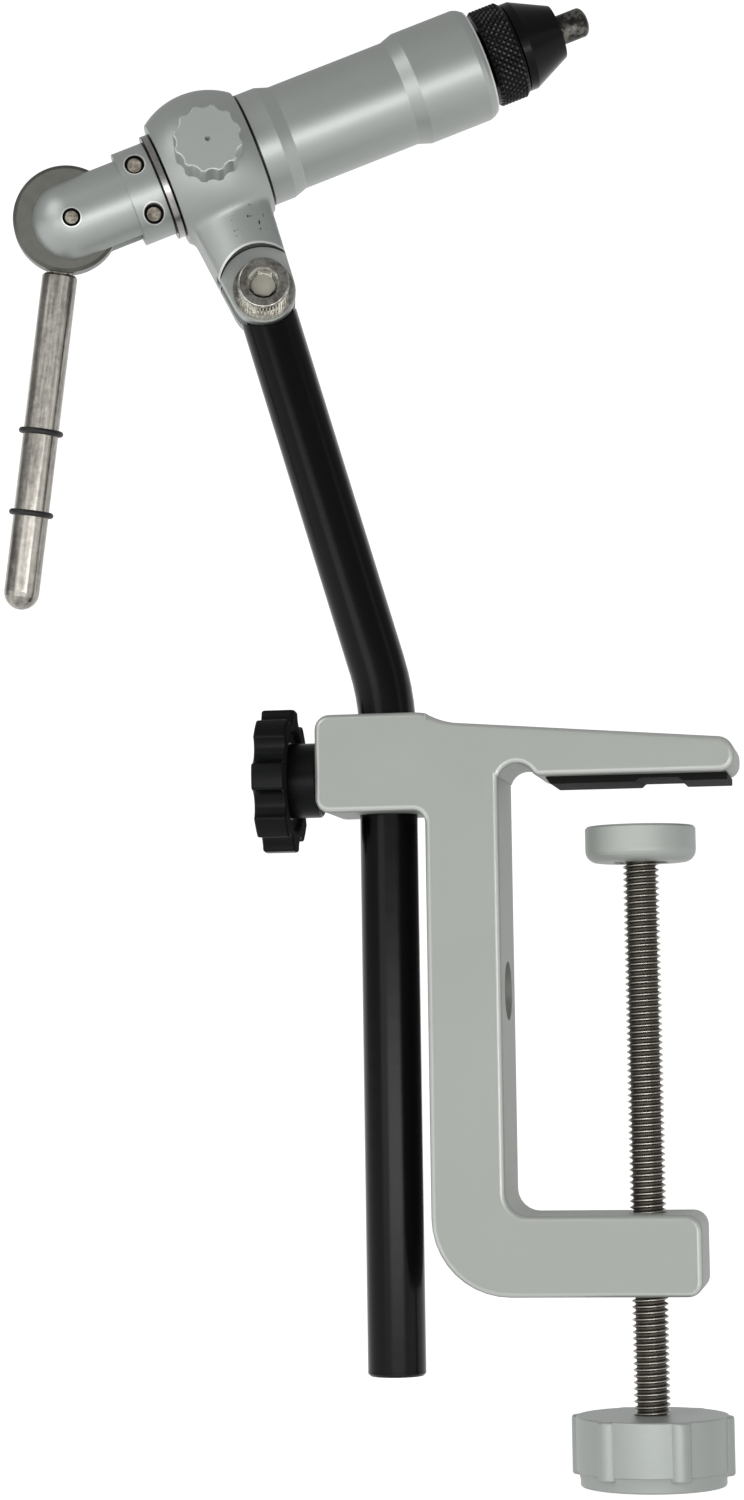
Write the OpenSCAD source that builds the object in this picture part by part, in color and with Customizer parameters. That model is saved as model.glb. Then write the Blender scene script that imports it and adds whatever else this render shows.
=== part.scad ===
// Fly tying vise: a cam-lever collet head that turns and tilts on a bent stem,
// held in a bench C-clamp. Millimetres, +Z up. The origin lies on the rubber
// face of the fixed jaw, on the clamp's middle plane; +X points to the jaw's tip.

/* [Clamp frame] */
// Thickness of the clamp frame from front to back
clamp_t = 19; // [16:0.5:26]
// Height of the throat between the jaw's metal face and the lower arm
throat_h = 70.5; // [45:0.5:110]
// Depth of the throat from the spine to the screw's axis
throat_d = 22.1; // [20:0.1:45]
// Distance of the origin behind the screw's axis
origin_back = 9; // [6:0.5:12]
// Width of the spine
spine_w = 12.1; // [11.5:0.1:20]
// Thickness of the upper arm at the spine
arm_root_h = 9.3; // [8:0.1:14]
// Thickness of the upper arm at its tip
arm_tip_h = 5.5; // [5.2:0.1:8]
// Reach of the upper arm past the screw's axis
arm_reach = 16; // [15:0.5:22]
// Height of the lower arm
lower_arm_h = 13; // [10:0.5:20]
// Reach of the lower arm past the screw's axis
lower_arm_reach = 9.2; // [7:0.1:14]
// Height of the boss that holds the stem
boss_h = 16.1; // [14:0.1:24]
// Rise of the boss above the upper arm
boss_rise = 1.7; // [1.5:0.1:2.5]
// Distance from the stem's axis to the end of the boss
boss_reach = 10.8; // [8:0.1:16]
// Gap between the stem and the spine
stem_gap = 2.5; // [1:0.1:6]
// Radius of the outer lower corner of the frame
frame_corner_r = 12.6; // [6:0.1:16]
// Radius of the fillet at the foot of the throat
throat_fillet_r = 3.7; // [2:0.1:6]
// Radius of the relief groove at the head of the throat
relief_r = 3; // [2:0.1:4]
// Radius of the small outer corners
corner_r = 2.4; // [1.5:0.1:2.6]
// Rounding of the long edges
edge_r = 1; // [0.5:0.1:1.3]
// Diameter of the blind socket in the spine
socket_d = 9.6; // [6:0.1:10]
// Depth of the blind socket
socket_depth = 9; // [5:0.1:10]
// Height of the socket's axis below the jaw face
socket_drop = 33.2; // [20:0.1:45]

/* [Jaw rubber] */
// Length of the rubber strip along the jaw
rubber_l = 29.4; // [24:0.1:34]
// Width of the rubber strip
rubber_w = 15; // [12:0.5:16]
// Thickness of the rubber strip
rubber_t = 1.2; // [1:0.1:2.5]
// Distance from the strip's back end to the origin
rubber_back = 5.6; // [3:0.1:7]
// Width of the groove across the strip
groove_w = 7.5; // [3:0.1:10]
// Depth of the groove
groove_depth = 0.6; // [0.3:0.1:0.7]

/* [Clamp screw] */
// Diameter of the screw's thread
screw_d = 5.9; // [5:0.1:8]
// Gap between the swivel pad and the rubber at rest
jaw_gap = 6.8; // [5:0.1:30]
// Diameter of the swivel pad
pad_d = 18; // [15:0.5:24]
// Height of the swivel pad
pad_h = 5.9; // [5:0.1:9]
// Length of thread that shows below the lower arm
screw_tail = 19.3; // [12:0.1:40]
// Diameter over the knob's lobes
knob_d = 26.4; // [22:0.1:36]
// Height of the lobed part of the knob
knob_h = 8.9; // [7:0.1:14]
// Height of the plain disc under the lobes
knob_disc_h = 2.3; // [1.5:0.1:4]
// Number of scallops round the knob
knob_lobes = 6; // [5:1:8]

/* [Stem] */
// Diameter of the stem tube
stem_d = 9.52; // [8:0.01:11]
// Wall of the stem tube
stem_wall = 1.4; // [1:0.1:2]
// Straight length below the top of the boss
stem_lower = 107.6; // [60:0.1:140]
// Length from the corner of the bend to the tilt pivot
stem_upper = 70.3; // [45:0.1:110]
// Angle of the bend
bend_angle = 16.3; // [8:0.1:30]
// Depth below the boss's top at which the bend starts
bend_start = 2.4; // [0:0.1:2.6]
// Radius of the bend on the stem's centre line
bend_r = 40; // [24:1:60]
// Turn of the stem in its boss at rest
swing = 11; // [-60:1:60]

/* [Stem lock] */
// Diameter of the lock stud
lock_d = 6; // [5:0.1:6.5]
// Diameter over the lock knob's lobes
lock_knob_d = 23.8; // [18:0.1:30]
// Thickness of the lock knob's rim
lock_rim_h = 5.4; // [4:0.1:8]
// Diameter of the lock knob's hub
lock_hub_d = 12.4; // [10:0.1:13]
// Length of the hub
lock_hub_l = 4.4; // [3:0.1:8]
// Number of lobes on the lock knob
lock_lobes = 8; // [6:1:10]

/* [Head] */
// Rise of the barrel's axis at rest
rise = 21.5; // [0:0.5:60]
// Turn of the barrel about its own axis at rest
roll = 7; // [-30:1:30]
// Radius of the ball-shaped housing
ball_r = 13; // [12:0.1:16]
// Width of the housing along the barrel's axis
ball_w = 15.3; // [13:0.1:17]
// Distance from the cam pin to the middle of the housing
ball_u = 24.85; // [23.8:0.05:30]
// Drop from the barrel's axis to the tilt pivot
pivot_drop = 23.9; // [21:0.1:28]
// Radius of the lug's round end
lug_r = 5.4; // [5.2:0.1:7]
// Thickness of the lug across both cheeks
lug_t = 12; // [10:0.1:14]
// Thickness of the stem's tongue between the cheeks
tongue_t = 5; // [3:0.1:6]

/* [Barrel] */
// Diameter of the barrel's end collars
barrel_d = 19.4; // [18.5:0.1:22]
// Diameter of the barrel's waist
waist_d = 17.9; // [16:0.1:19]
// Length of the barrel sleeve
barrel_l = 41.2; // [34:0.1:60]
// Diameter of the spindle
spindle_d = 12; // [11:0.1:13]
// Diameter of the draw bar
bar_d = 4.8; // [4:0.1:5]
// Diameter of the knurled adjusting ring
ring_d = 16.7; // [15.5:0.1:18]
// Width of the adjusting ring
ring_w = 5.4; // [4:0.1:8]
// Number of knurl diamonds round the ring
knurl_n = 44; // [30:1:56]
// Depth of the knurl
knurl_depth = 0.28; // [0.1:0.01:0.4]
// Diameter of the nose at its base
nose_d = 15.3; // [13:0.1:16]
// Diameter of the nose's front face
nose_tip_d = 9.2; // [7.5:0.1:11]
// Length of the nose
nose_l = 8; // [6.5:0.1:14]
// Diameter of the collet's stub
stub_d = 5; // [4.6:0.1:5.4]
// Length of the stub in front of the nose
stub_l = 5.6; // [4:0.1:14]

/* [Cam lever] */
// Diameter of the yoke's cheeks
yoke_d = 14.5; // [13.5:0.1:15.5]
// Diameter of the yoke's front collar
yoke_collar_d = 16.1; // [15.6:0.1:17.5]
// Diameter of the cam disc
cam_d = 17.8; // [17:0.1:19]
// Thickness of the cam disc
cam_t = 6; // [5:0.1:6.5]
// Distance from the cam pin to the middle of the disc
cam_throw = 0.92; // [0.5:0.01:1.1]
// Diameter of the lever
lever_d = 5.9; // [4:0.1:6]
// Length of the lever outside the disc
lever_l = 56.5; // [30:0.5:80]
// Angle of the lever behind the square position
lever_angle = 29; // [0:1:45]

/* [Drag knob] */
// Diameter over the drag knob's lobes
drag_knob_d = 11.4; // [9:0.1:12]
// Height of the drag knob
drag_knob_h = 6.8; // [4:0.1:9]
// Number of scallops round the drag knob
drag_lobes = 12; // [8:1:16]

/* [Hidden] */
$fn = 72;

// Clearances and the overrun of every cut
run = 0.05;
gap = 0.3;
seat = 0.02;
over = 1;

// Lap of the stem's bend into its straight parts, in degrees
bend_lap = 0.5;

// Angular step of a rounded corner and steps of a rounded edge
corner_step = 12;
edge_steps = 3;

// Heights and places of the clamp frame
screw_x = origin_back;
spine_in_x = screw_x - throat_d;
spine_out_x = spine_in_x - spine_w;
stem_x = spine_out_x - stem_gap - stem_d / 2;
boss_x = stem_x - boss_reach;
tip_x = screw_x + arm_reach;
lower_end_x = screw_x + lower_arm_reach;
jaw_z = rubber_t;
arm_root_z = jaw_z + arm_root_h;
arm_tip_z = jaw_z + arm_tip_h;
boss_z = arm_root_z + boss_rise;
boss_low_z = boss_z - boss_h;
lower_z = jaw_z - throat_h;
base_z = lower_z - lower_arm_h;
lock_z = (boss_z + boss_low_z) / 2 - lock_d / 3;

// Screw, pad and knob
pad_z = -jaw_gap;
pad_low_z = pad_z - pad_h;
pad_round_r = pad_h / 3;
pad_chamfer = pad_h / 16;
pad_recess_d = pad_d / 2;
pad_recess_h = pad_h / 4;
clip_t = pad_h / 8;
screw_top_z = pad_z - pad_h / 4;
groove_low_z = pad_low_z + pad_recess_h - clip_t - run;
neck_d = screw_d * 0.8;
knob_z = base_z - screw_tail;
knob_low_z = knob_z - knob_h - knob_disc_h;
knob_disc_d = knob_d * 0.89;
knob_chamfer = knob_h / 12;
scallop_r = knob_d / 5;
scallop_depth = knob_d / 17;
grub_d = screw_d * 0.68;
grub_l = knob_d * 0.3;
knob_turn = 12.2;

// Stem, whose bend starts in the countersunk mouth of the boss
stem_r = stem_d / 2;
bore_r = stem_r + run;
bend_z = boss_z - bend_start;
mouth = 1;
bend_tangent = bend_r * tan(bend_angle / 2);
corner_z = bend_z + bend_tangent;
pivot_x = -stem_upper * sin(bend_angle);
pivot_z = corner_z + stem_upper * cos(bend_angle);
stem_low_z = boss_z - stem_lower;
plug_t = stem_d / 12;
plug_l = stem_d * 0.7;
plug_chamfer = plug_t / 2;
tube_r = stem_r - stem_wall;
tube_top = stem_d * 1.7;

// Stem lock
shoe_l = lock_d / 2;
shoe_x = stem_x - stem_r - run;
hub_x = boss_x - gap;
lock_face_x = hub_x - lock_hub_l - lock_rim_h;
lock_chamfer = lock_rim_h / 8;
lock_valley_r = lock_knob_d / 9;
lock_valley_depth = lock_knob_d / 13;
lock_dish_r = lock_knob_d / 4;
lock_dish_depth = lock_rim_h / 9;

// Head housing, lug and pivot fasteners
housing_u0 = ball_u - ball_w / 2;
housing_u1 = ball_u + ball_w / 2;
neck_r = ball_r * 0.67;
neck_top_half = lug_r * 1.28;
neck_top_w = -ball_r * 0.7;
spot_r = lug_r * 1.38;
slot_t = tongue_t + 2 * run;
slot_top = lug_r * 1.1;
tongue_r = sqrt(pow(stem_r, 2) - pow(tongue_t / 2, 2)) - seat;
shoulder_r = lug_r + gap;
bolt_d = 5;
bolt_head_d = 8.5;
bolt_head_h = 5;
hex_af = 4;
hex_depth = bolt_head_h / 2;
washer_d = 10.1;
washer_t = 1;
nut_af = 8;
nut_h = 4;
bolt_end = lug_t / 2 + washer_t + nut_h + bolt_d / 5;
bolt_chamfer = bolt_head_h / 12;

// Bearings and drag
journal_r = spindle_d / 2;
bush_wall = spindle_d / 9;
bush_r = journal_r + run + bush_wall;
bush_l = ball_w * 0.27;
drag_screw_d = drag_knob_d * 0.42;
drag_shoe_l = spindle_d / 5;
drag_shoe_y = -journal_r - run;
drag_base_y = -ball_r + gap * 2;
drag_face_y = drag_base_y - drag_knob_h;
drag_flat_y = drag_base_y + gap;
drag_valley_r = drag_knob_d / 7;
drag_valley_depth = drag_knob_d / 24;
drag_chamfer = drag_knob_h / 14;
dimple_r = drag_knob_d / 14;

// Stations along the barrel's axis, from the cam pin
washer_u0 = housing_u0 - gap / 2 - thrust_t();
collar_u1 = washer_u0 - seat;
collar_u0 = collar_u1 - yoke_collar_d * 0.34;
sleeve_u0 = housing_u1 + gap / 2;
sleeve_u1 = sleeve_u0 + barrel_l;
ring_u0 = sleeve_u1 + gap * 2.6;
ring_u1 = ring_u0 + ring_w;
nose_u0 = ring_u1 + seat;
nose_u1 = nose_u0 + nose_l;
stub_u1 = nose_u1 + stub_l;

// Barrel sleeve and spindle
sleeve_chamfer = barrel_d / 24;
rear_collar_l = barrel_l * 0.095;
front_collar_l = barrel_l * 0.3;
taper_l = barrel_l * 0.055;
spigot_r = journal_r * 0.84;
spigot_u0 = collar_u0 + gap;
nose_thread_r = journal_r * 0.84;
spindle_u1 = ring_u1 - ring_w / 5;
bar_r = bar_d / 2;
bar_bore_r = bar_r + run;
spring_u0 = sleeve_u0 + barrel_l * 0.15;
spring_l = barrel_l * 0.53;
pocket_r = journal_r * 0.78;
bar_collar_r = pocket_r - run;
bar_collar_l = spindle_d / 6;
wire_r = spindle_d / 20;
coil_r = pocket_r - wire_r - run * 3;
coil_turns = 7;
coil_sides = 6;
coil_steps = 14;

// Cam, yoke and lever
yoke_r = yoke_d / 2;
pin_d = 3;
slot_half = cam_t / 2 + run * 3;
yoke_slot_end = cam_d / 2 + cam_throw + gap;
cam_angle = 139;
cam_u = cam_throw * cos(cam_angle);
cam_w = cam_throw * sin(cam_angle);
cam_chamfer = cam_t / 10;
bar_u0 = cam_u + cam_d / 2 + run * 2;
yoke_pin_u = (collar_u0 + collar_u1) / 2;
yoke_pin_w = yoke_collar_d * 0.268;
yoke_pin_r = pin_d * 0.55;
lever_start = cam_d / 2 + gap / 2;
spigot_d = lever_d * 0.66;
spigot_l = cam_d / 4;
lever_chamfer = lever_d / 14;
o_ring_share = [0.47, 0.713];
o_ring_r = lever_d / 12;
o_ring_seat = lever_d / 2 + o_ring_r * 0.6;

// Collet, nose and adjusting ring
stub_r = stub_d / 2;
stub_dome = stub_r / 2;
collet_neck_r = stub_r * 0.78;
taper_len = nose_l * 0.4;
land_l = nose_l / 3;
nose_play = nose_l / 9;
collet_u0 = spindle_u1 - nose_l * 2;
slit_w = stub_d / 12;
slit_l = nose_l * 2;
hook_bore_r = stub_r * 0.3;
hook_bore_l = stub_l * 1.2;
nose_collar_l = nose_l * 0.21;
clip_r = nose_thread_r * 1.3;
clip_wire_r = ring_w / 14;
ring_chamfer = ring_w / 9;

function thrust_t() = spindle_d / 9;

// Outlines: each corner is [x, z, radius], counter-clockwise seen from the front
function unit2(v) = v / norm(v);
function left_of(v) = [-v[1], v[0]];
function corner_arc(a, b, c, r, inset) =
    let (u = unit2(b - a), v = unit2(c - b), bend = atan2(u[0] * v[1] - u[1] * v[0], u * v),
         side = bend < 0 ? -1 : 1, reach = (left_of(u) + left_of(v)) / (1 + u * v),
         centre = b + side * r * reach, start = -side * left_of(u),
         steps = max(1, round(abs(bend) / corner_step)), from = atan2(start[1], start[0]))
    [for (k = [0:steps]) let (t = from + bend * k / steps)
        centre + (r - side * inset) * [cos(t), sin(t)]];
function rounded(corners, inset = 0) =
    let (n = len(corners))
    [for (i = [0:n - 1]) let (p = corners[(i + n - 1) % n], q = corners[i], s = corners[(i + 1) % n])
        each corner_arc([p[0], p[1]], [q[0], q[1]], [s[0], s[1]], q[2], inset)];

frame_corners = [
    [lower_end_x, base_z, corner_r], [lower_end_x, lower_z, corner_r],
    [spine_in_x, lower_z, throat_fillet_r], [spine_in_x, jaw_z, edge_r],
    [tip_x, jaw_z, corner_r], [tip_x, arm_tip_z, corner_r],
    [spine_out_x + boss_rise * 1.5, arm_root_z, corner_r * 0.6], [spine_out_x, boss_z, corner_r],
    [boss_x, boss_z, corner_r], [boss_x, boss_low_z, corner_r],
    [spine_out_x, boss_low_z, min(corner_r, stem_gap) * 0.8], [spine_out_x, base_z, frame_corner_r]];

// A plate along Y whose long edges step back like a round, from one outline
module edged_plate(corners, t, r) {
    for (k = [0:edge_steps]) {
        a = 90 * k / edge_steps;
        plate_y(t - 2 * r * (1 - sin(a))) polygon(rounded(corners, r * (1 - cos(a))));
    }
}

// Turned shapes: [station, radius] points about the X axis
module turned(profile) {
    rotate([0, 90, 0]) rotate_extrude() polygon([for (p = profile) [p[1], p[0]]]);
}
module pipe(u0, u1, outer, inner, chamfer = 0) {
    turned([[u0, inner], [u0, outer - chamfer], [u0 + chamfer, outer], [u1 - chamfer, outer],
            [u1, outer - chamfer], [u1, inner]]);
}
module rod(u0, u1, r, chamfer = 0) {
    pipe(u0, u1, r, 0, chamfer);
}
module upright(z0, z1, r) {
    translate([0, 0, z0]) cylinder(h = z1 - z0, r = r);
}
module across(y0, y1, r) {
    translate([0, y1, 0]) rotate([90, 0, 0]) cylinder(h = y1 - y0, r = r);
}
module plate_y(t) {
    rotate([90, 0, 0]) linear_extrude(height = t, center = true) children();
}
// A disc about Z with scallops cut in its rim
module scalloped(r, n, valley_r, depth, h, chamfer) {
    intersection() {
        linear_extrude(height = h) difference() {
            circle(r = r);
            for (i = [0:n - 1]) rotate(i * 360 / n) translate([r + valley_r - depth, 0]) circle(r = valley_r);
        }
        rotate_extrude() polygon([[0, 0], [r - chamfer, 0], [r, chamfer], [r, h - chamfer],
                                  [r - chamfer, h], [0, h]]);
    }
}

// Places of the stem, the head and the barrel
module at_stem() {
    translate([stem_x, 0, 0]) rotate([0, 0, swing]) children();
}
module at_head() {
    at_stem() translate([pivot_x, 0, pivot_z]) rotate([0, -rise, 0]) translate([-ball_u, 0, pivot_drop])
        children();
}
module at_barrel() {
    at_head() rotate([roll, 0, 0]) children();
}
module at_pivot() {
    translate([ball_u, 0, -pivot_drop]) children();
}
module at_cam() {
    at_barrel() translate([cam_u, 0, cam_w]) children();
}
module at_screw() {
    translate([screw_x, 0, 0]) children();
}

// C-shaped clamp frame with the stem's boss
module clamp_frame() {
    color([0.66, 0.69, 0.66]) difference() {
        edged_plate(frame_corners, clamp_t, edge_r);
        translate([stem_x, 0, 0]) upright(boss_low_z - over, boss_z + over, bore_r);
        translate([stem_x, 0, boss_z - mouth]) cylinder(h = mouth * 2, r1 = bore_r, r2 = bore_r + mouth);
        translate([spine_in_x + relief_r, 0, jaw_z - relief_r * 0.3]) across(-clamp_t, clamp_t, relief_r);
        at_screw() upright(base_z - over, lower_z + over, screw_d / 2 + run);
        translate([0, 0, lock_z]) rod(boss_x - over, stem_x, lock_d / 2 + run);
        translate([0, 0, -socket_drop]) rod(spine_in_x - socket_depth, spine_in_x + over, socket_d / 2);
    }
}

// Rubber strip under the upper arm, with a groove across it
module jaw_rubber() {
    x0 = -rubber_back;
    x1 = x0 + rubber_l;
    g0 = screw_x;
    g1 = g0 + groove_w;
    color([0.13, 0.13, 0.12]) plate_y(rubber_w)
        polygon([[x0, 0], [g0, 0], [g0 + groove_depth, groove_depth], [g1 - groove_depth, groove_depth],
                 [g1, 0], [x1, 0], [x1, rubber_t - seat], [x0, rubber_t - seat]]);
}

// Swivel pad on the end of the screw
module swivel_pad() {
    r = pad_d / 2;
    b = pad_round_r;
    color([0.62, 0.65, 0.62]) at_screw() rotate_extrude() polygon(concat(
        [[0, pad_z], [r - pad_chamfer, pad_z], [r, pad_z - pad_chamfer]],
        [for (a = [0:15:90]) [r - b + b * cos(a), pad_low_z + b - b * sin(a)]],
        [[pad_recess_d / 2, pad_low_z], [pad_recess_d / 2, pad_low_z + pad_recess_h],
         [screw_d / 2 + run, pad_low_z + pad_recess_h], [screw_d / 2 + run, screw_top_z + run],
         [0, screw_top_z + run]]));
}

// Ring that keeps the pad on the screw
module pad_retainer() {
    z = pad_low_z + pad_recess_h - clip_t;
    color([0.75, 0.74, 0.70]) at_screw() difference() {
        upright(z, z + clip_t, pad_recess_d / 2 - run);
        upright(z - over, z + clip_t + over, neck_d / 2 + run);
    }
}

// Long screw, with a neck for the retaining ring
module clamp_screw() {
    r = screw_d / 2;
    c = r / 5;
    color([0.60, 0.57, 0.52]) at_screw() rotate_extrude() polygon([
        [0, screw_top_z], [r - c, screw_top_z], [r, screw_top_z - c],
        [r, groove_low_z + clip_t + run * 2], [neck_d / 2, groove_low_z + clip_t + run * 2],
        [neck_d / 2, groove_low_z], [r, groove_low_z],
        [r, knob_low_z + knob_disc_h], [0, knob_low_z + knob_disc_h]]);
}

// Scalloped knob with a plain disc under it
module clamp_knob() {
    color([0.60, 0.63, 0.61]) at_screw() difference() {
        union() {
            translate([0, 0, knob_low_z + knob_disc_h - seat]) rotate([0, 0, knob_turn])
                scalloped(knob_d / 2, knob_lobes, scallop_r, scallop_depth, knob_h + seat, knob_chamfer);
            translate([0, 0, knob_low_z]) rotate_extrude() polygon([
                [0, 0], [knob_disc_d / 2 - knob_chamfer, 0], [knob_disc_d / 2, knob_chamfer],
                [knob_disc_d / 2, knob_disc_h], [0, knob_disc_h]]);
        }
        upright(knob_low_z + knob_disc_h, knob_z + over, screw_d / 2 + seat);
        translate([0, 0, knob_z - knob_h / 2]) across(screw_d / 2, knob_d, grub_d / 2);
    }
}

// Grub screw that locks the knob on the screw
module knob_grub_screw() {
    y0 = screw_d / 2 + seat;
    color([0.2, 0.2, 0.2]) at_screw() translate([0, 0, knob_z - knob_h / 2]) difference() {
        across(y0, y0 + grub_l, grub_d / 2 - seat);
        translate([0, y0 + grub_l - grub_d / 2, 0]) rotate([-90, 0, 0])
            cylinder(h = grub_d, d = grub_d * 0.55, $fn = 6);
    }
}

// Brass shoe that presses on the stem
module lock_shoe() {
    color([0.72, 0.58, 0.30]) translate([0, 0, lock_z]) rod(shoe_x - shoe_l, shoe_x, lock_d / 2);
}

// Threaded stud of the stem lock
module lock_stud() {
    color([0.35, 0.35, 0.35]) translate([0, 0, lock_z])
        rod(lock_face_x + lock_rim_h / 2, shoe_x - shoe_l - run, lock_d / 2, lock_d / 12);
}

// Moulded star knob of the stem lock
module lock_knob() {
    hub_r = lock_hub_d / 2;
    color([0.10, 0.11, 0.11]) translate([0, 0, lock_z]) difference() {
        union() {
            translate([lock_face_x, 0, 0]) rotate([0, 90, 0])
                scalloped(lock_knob_d / 2, lock_lobes, lock_valley_r, lock_valley_depth, lock_rim_h, lock_chamfer);
            rod(lock_face_x + lock_rim_h - seat, hub_x, hub_r, lock_chamfer);
        }
        rod(lock_face_x - over, lock_face_x + lock_dish_depth, lock_dish_r);
        rod(lock_face_x + lock_rim_h / 2, hub_x + over, lock_d / 2 + seat);
    }
}

// Plug that closes the foot of the stem
module stem_plug() {
    z = stem_low_z;
    color([0.08, 0.08, 0.08]) at_stem() rotate_extrude() polygon([
        [0, z], [stem_r - plug_chamfer, z], [stem_r, z + plug_chamfer], [stem_r, z + plug_t],
        [tube_r - run, z + plug_t], [tube_r - run, z + plug_t + plug_l], [0, z + plug_t + plug_l]]);
}

// Centre line of the stem as a solid of radius r, stopping short of the pivot
module stem_run(r, low, short) {
    straight = stem_upper - bend_tangent - short;
    upright(low, bend_z, r);
    translate([-bend_r, 0, bend_z]) rotate([90, 0, 0]) rotate([0, 0, -bend_lap])
        rotate_extrude(angle = bend_angle + 2 * bend_lap) translate([bend_r, 0]) circle(r = r - seat);
    translate([-bend_r * (1 - cos(bend_angle)), 0, bend_z + bend_r * sin(bend_angle)])
        rotate([0, -bend_angle, 0]) cylinder(h = straight, r = r);
}

// Bent stem tube with the tongue that tilts in the lug
module stem() {
    reach = shoulder_r * 1.3;
    color([0.05, 0.05, 0.06]) at_stem() difference() {
        union() {
            difference() {
                stem_run(stem_r, stem_low_z + plug_t + seat, 0);
                translate([pivot_x, 0, pivot_z]) across(-stem_d, stem_d, shoulder_r);
            }
            translate([pivot_x, 0, pivot_z]) rotate([0, -bend_angle, 0]) plate_y(tongue_t) {
                translate([-tongue_r, -reach]) square([tongue_r * 2, reach]);
                circle(r = tongue_r);
            }
        }
        stem_run(tube_r, stem_low_z - over, tube_top);
        translate([pivot_x, 0, pivot_z]) across(-stem_d, stem_d, bolt_d / 2 + run);
    }
}

// Ball-shaped housing with the forked lug under it
module head_housing() {
    color([0.60, 0.63, 0.61]) at_head() difference() {
        union() {
            intersection() {
                translate([ball_u, 0, 0]) rotate([0, 90, 0]) sphere(r = ball_r);
                rod(housing_u0, housing_u1, ball_r * 2);
            }
            intersection() {
                plate_y(ball_r * 2) {
                    polygon([[ball_u - neck_top_half, neck_top_w], [ball_u + neck_top_half, neck_top_w],
                             [ball_u + lug_r, -pivot_drop], [ball_u - lug_r, -pivot_drop]]);
                    translate([ball_u, -pivot_drop]) circle(r = lug_r);
                }
                translate([ball_u, 0, 0]) upright(-pivot_drop - ball_r, 0, neck_r);
            }
        }
        rod(housing_u0 - over, housing_u1 + over, journal_r + gap);
        rod(housing_u0 - over, housing_u0 + bush_l, bush_r + seat);
        rod(housing_u1 - bush_l, housing_u1 + over, bush_r + seat);
        translate([ball_u, 0, 0]) across(-ball_r * 2, 0, drag_screw_d / 2 + run);
        translate([ball_u, 0, 0]) across(-ball_r * 2, drag_flat_y, drag_knob_d / 2 + gap);
        at_pivot() {
            across(-ball_r * 2, -lug_t / 2, spot_r);
            across(lug_t / 2, ball_r * 2, spot_r);
            across(-ball_r, ball_r, bolt_d / 2 + seat);
            translate([0, 0, slot_top - ball_r]) cube([ball_r * 2, slot_t, ball_r * 2], center = true);
        }
    }
}

// Bearing bushes at the two ends of the housing
module rear_bush() {
    color([0.70, 0.56, 0.30]) at_head() pipe(housing_u0, housing_u0 + bush_l - seat, bush_r, journal_r + run);
}
module front_bush() {
    color([0.70, 0.56, 0.30]) at_head() pipe(housing_u1 - bush_l + seat, housing_u1, bush_r, journal_r + run);
}

// Socket head cap screw through the lug and the tongue
module pivot_bolt() {
    head_y = -lug_t / 2 - washer_t;
    color([0.78, 0.76, 0.72]) at_head() at_pivot() difference() {
        rotate([90, 0, 0]) rotate_extrude() polygon([
            [0, -bolt_end], [bolt_d / 2 - bolt_chamfer, -bolt_end], [bolt_d / 2, -bolt_end + bolt_chamfer],
            [bolt_d / 2, -head_y], [bolt_head_d / 2, -head_y],
            [bolt_head_d / 2, -head_y + bolt_head_h - bolt_chamfer],
            [bolt_head_d / 2 - bolt_chamfer, -head_y + bolt_head_h], [0, -head_y + bolt_head_h]]);
        translate([0, head_y - bolt_head_h + hex_depth, 0]) rotate([90, 0, 0])
            cylinder(h = bolt_head_h, r = hex_af / sqrt(3), $fn = 6);
    }
}

// Plain washers under the bolt's head and under the nut
module pivot_washers() {
    color([0.75, 0.74, 0.71]) at_head() at_pivot() for (side = [-1, 1]) difference() {
        y = side * (lug_t + washer_t) / 2;
        across(y - washer_t / 2 + seat, y + washer_t / 2 - seat, washer_d / 2);
        across(y - washer_t, y + washer_t, bolt_d / 2 + run);
    }
}

// Hexagon nut behind the lug
module pivot_nut() {
    y = lug_t / 2 + washer_t;
    color([0.74, 0.73, 0.70]) at_head() at_pivot() difference() {
        translate([0, y + nut_h, 0]) rotate([90, 0, 0]) intersection() {
            cylinder(h = nut_h, r = nut_af / sqrt(3), $fn = 6);
            rotate_extrude() polygon([[0, 0], [nut_af / 2, 0], [nut_af / sqrt(3), nut_h / 8],
                                      [nut_af / sqrt(3), nut_h], [0, nut_h]]);
        }
        across(y - over, y + nut_h + over, bolt_d / 2 + seat);
    }
}

// Drag: a shoe on the spindle, a screw and a scalloped knob
module drag_shoe() {
    color([0.72, 0.58, 0.30]) at_head() translate([ball_u, 0, 0])
        across(drag_shoe_y - drag_shoe_l, drag_shoe_y, drag_screw_d / 2);
}
module drag_screw() {
    color([0.45, 0.45, 0.44]) at_head() translate([ball_u, 0, 0])
        across(drag_face_y + drag_knob_h / 3, drag_shoe_y - drag_shoe_l - run, drag_screw_d / 2);
}
module drag_knob() {
    color([0.60, 0.62, 0.60]) at_head() translate([ball_u, 0, 0]) difference() {
        translate([0, drag_base_y, 0]) rotate([90, 0, 0]) rotate([0, 0, 180 / drag_lobes])
            scalloped(drag_knob_d / 2, drag_lobes, drag_valley_r, drag_valley_depth, drag_knob_h, drag_chamfer);
        translate([0, drag_face_y, 0]) sphere(r = dimple_r);
        across(drag_face_y + drag_knob_h / 3, drag_base_y + over, drag_screw_d / 2 + seat);
    }
}

// Hollow spindle that turns in the housing
module spindle() {
    color([0.50, 0.50, 0.50]) at_barrel() difference() {
        turned([[spigot_u0, 0], [spigot_u0, spigot_r], [collar_u1, spigot_r], [collar_u1, journal_r],
                [sleeve_u1, journal_r], [sleeve_u1, nose_thread_r], [spindle_u1, nose_thread_r], [spindle_u1, 0]]);
        rod(spigot_u0 - over, spindle_u1 + over, bar_bore_r);
        rod(spigot_u0 - over, spring_u0 + spring_l, pocket_r);
        rod(spindle_u1 - nose_l * 2 - over, spindle_u1 + over, stub_r + run);
        for (side = [-1, 1]) translate([yoke_pin_u, 0, side * yoke_pin_w])
            across(-barrel_d, barrel_d, yoke_pin_r);
    }
}

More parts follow.
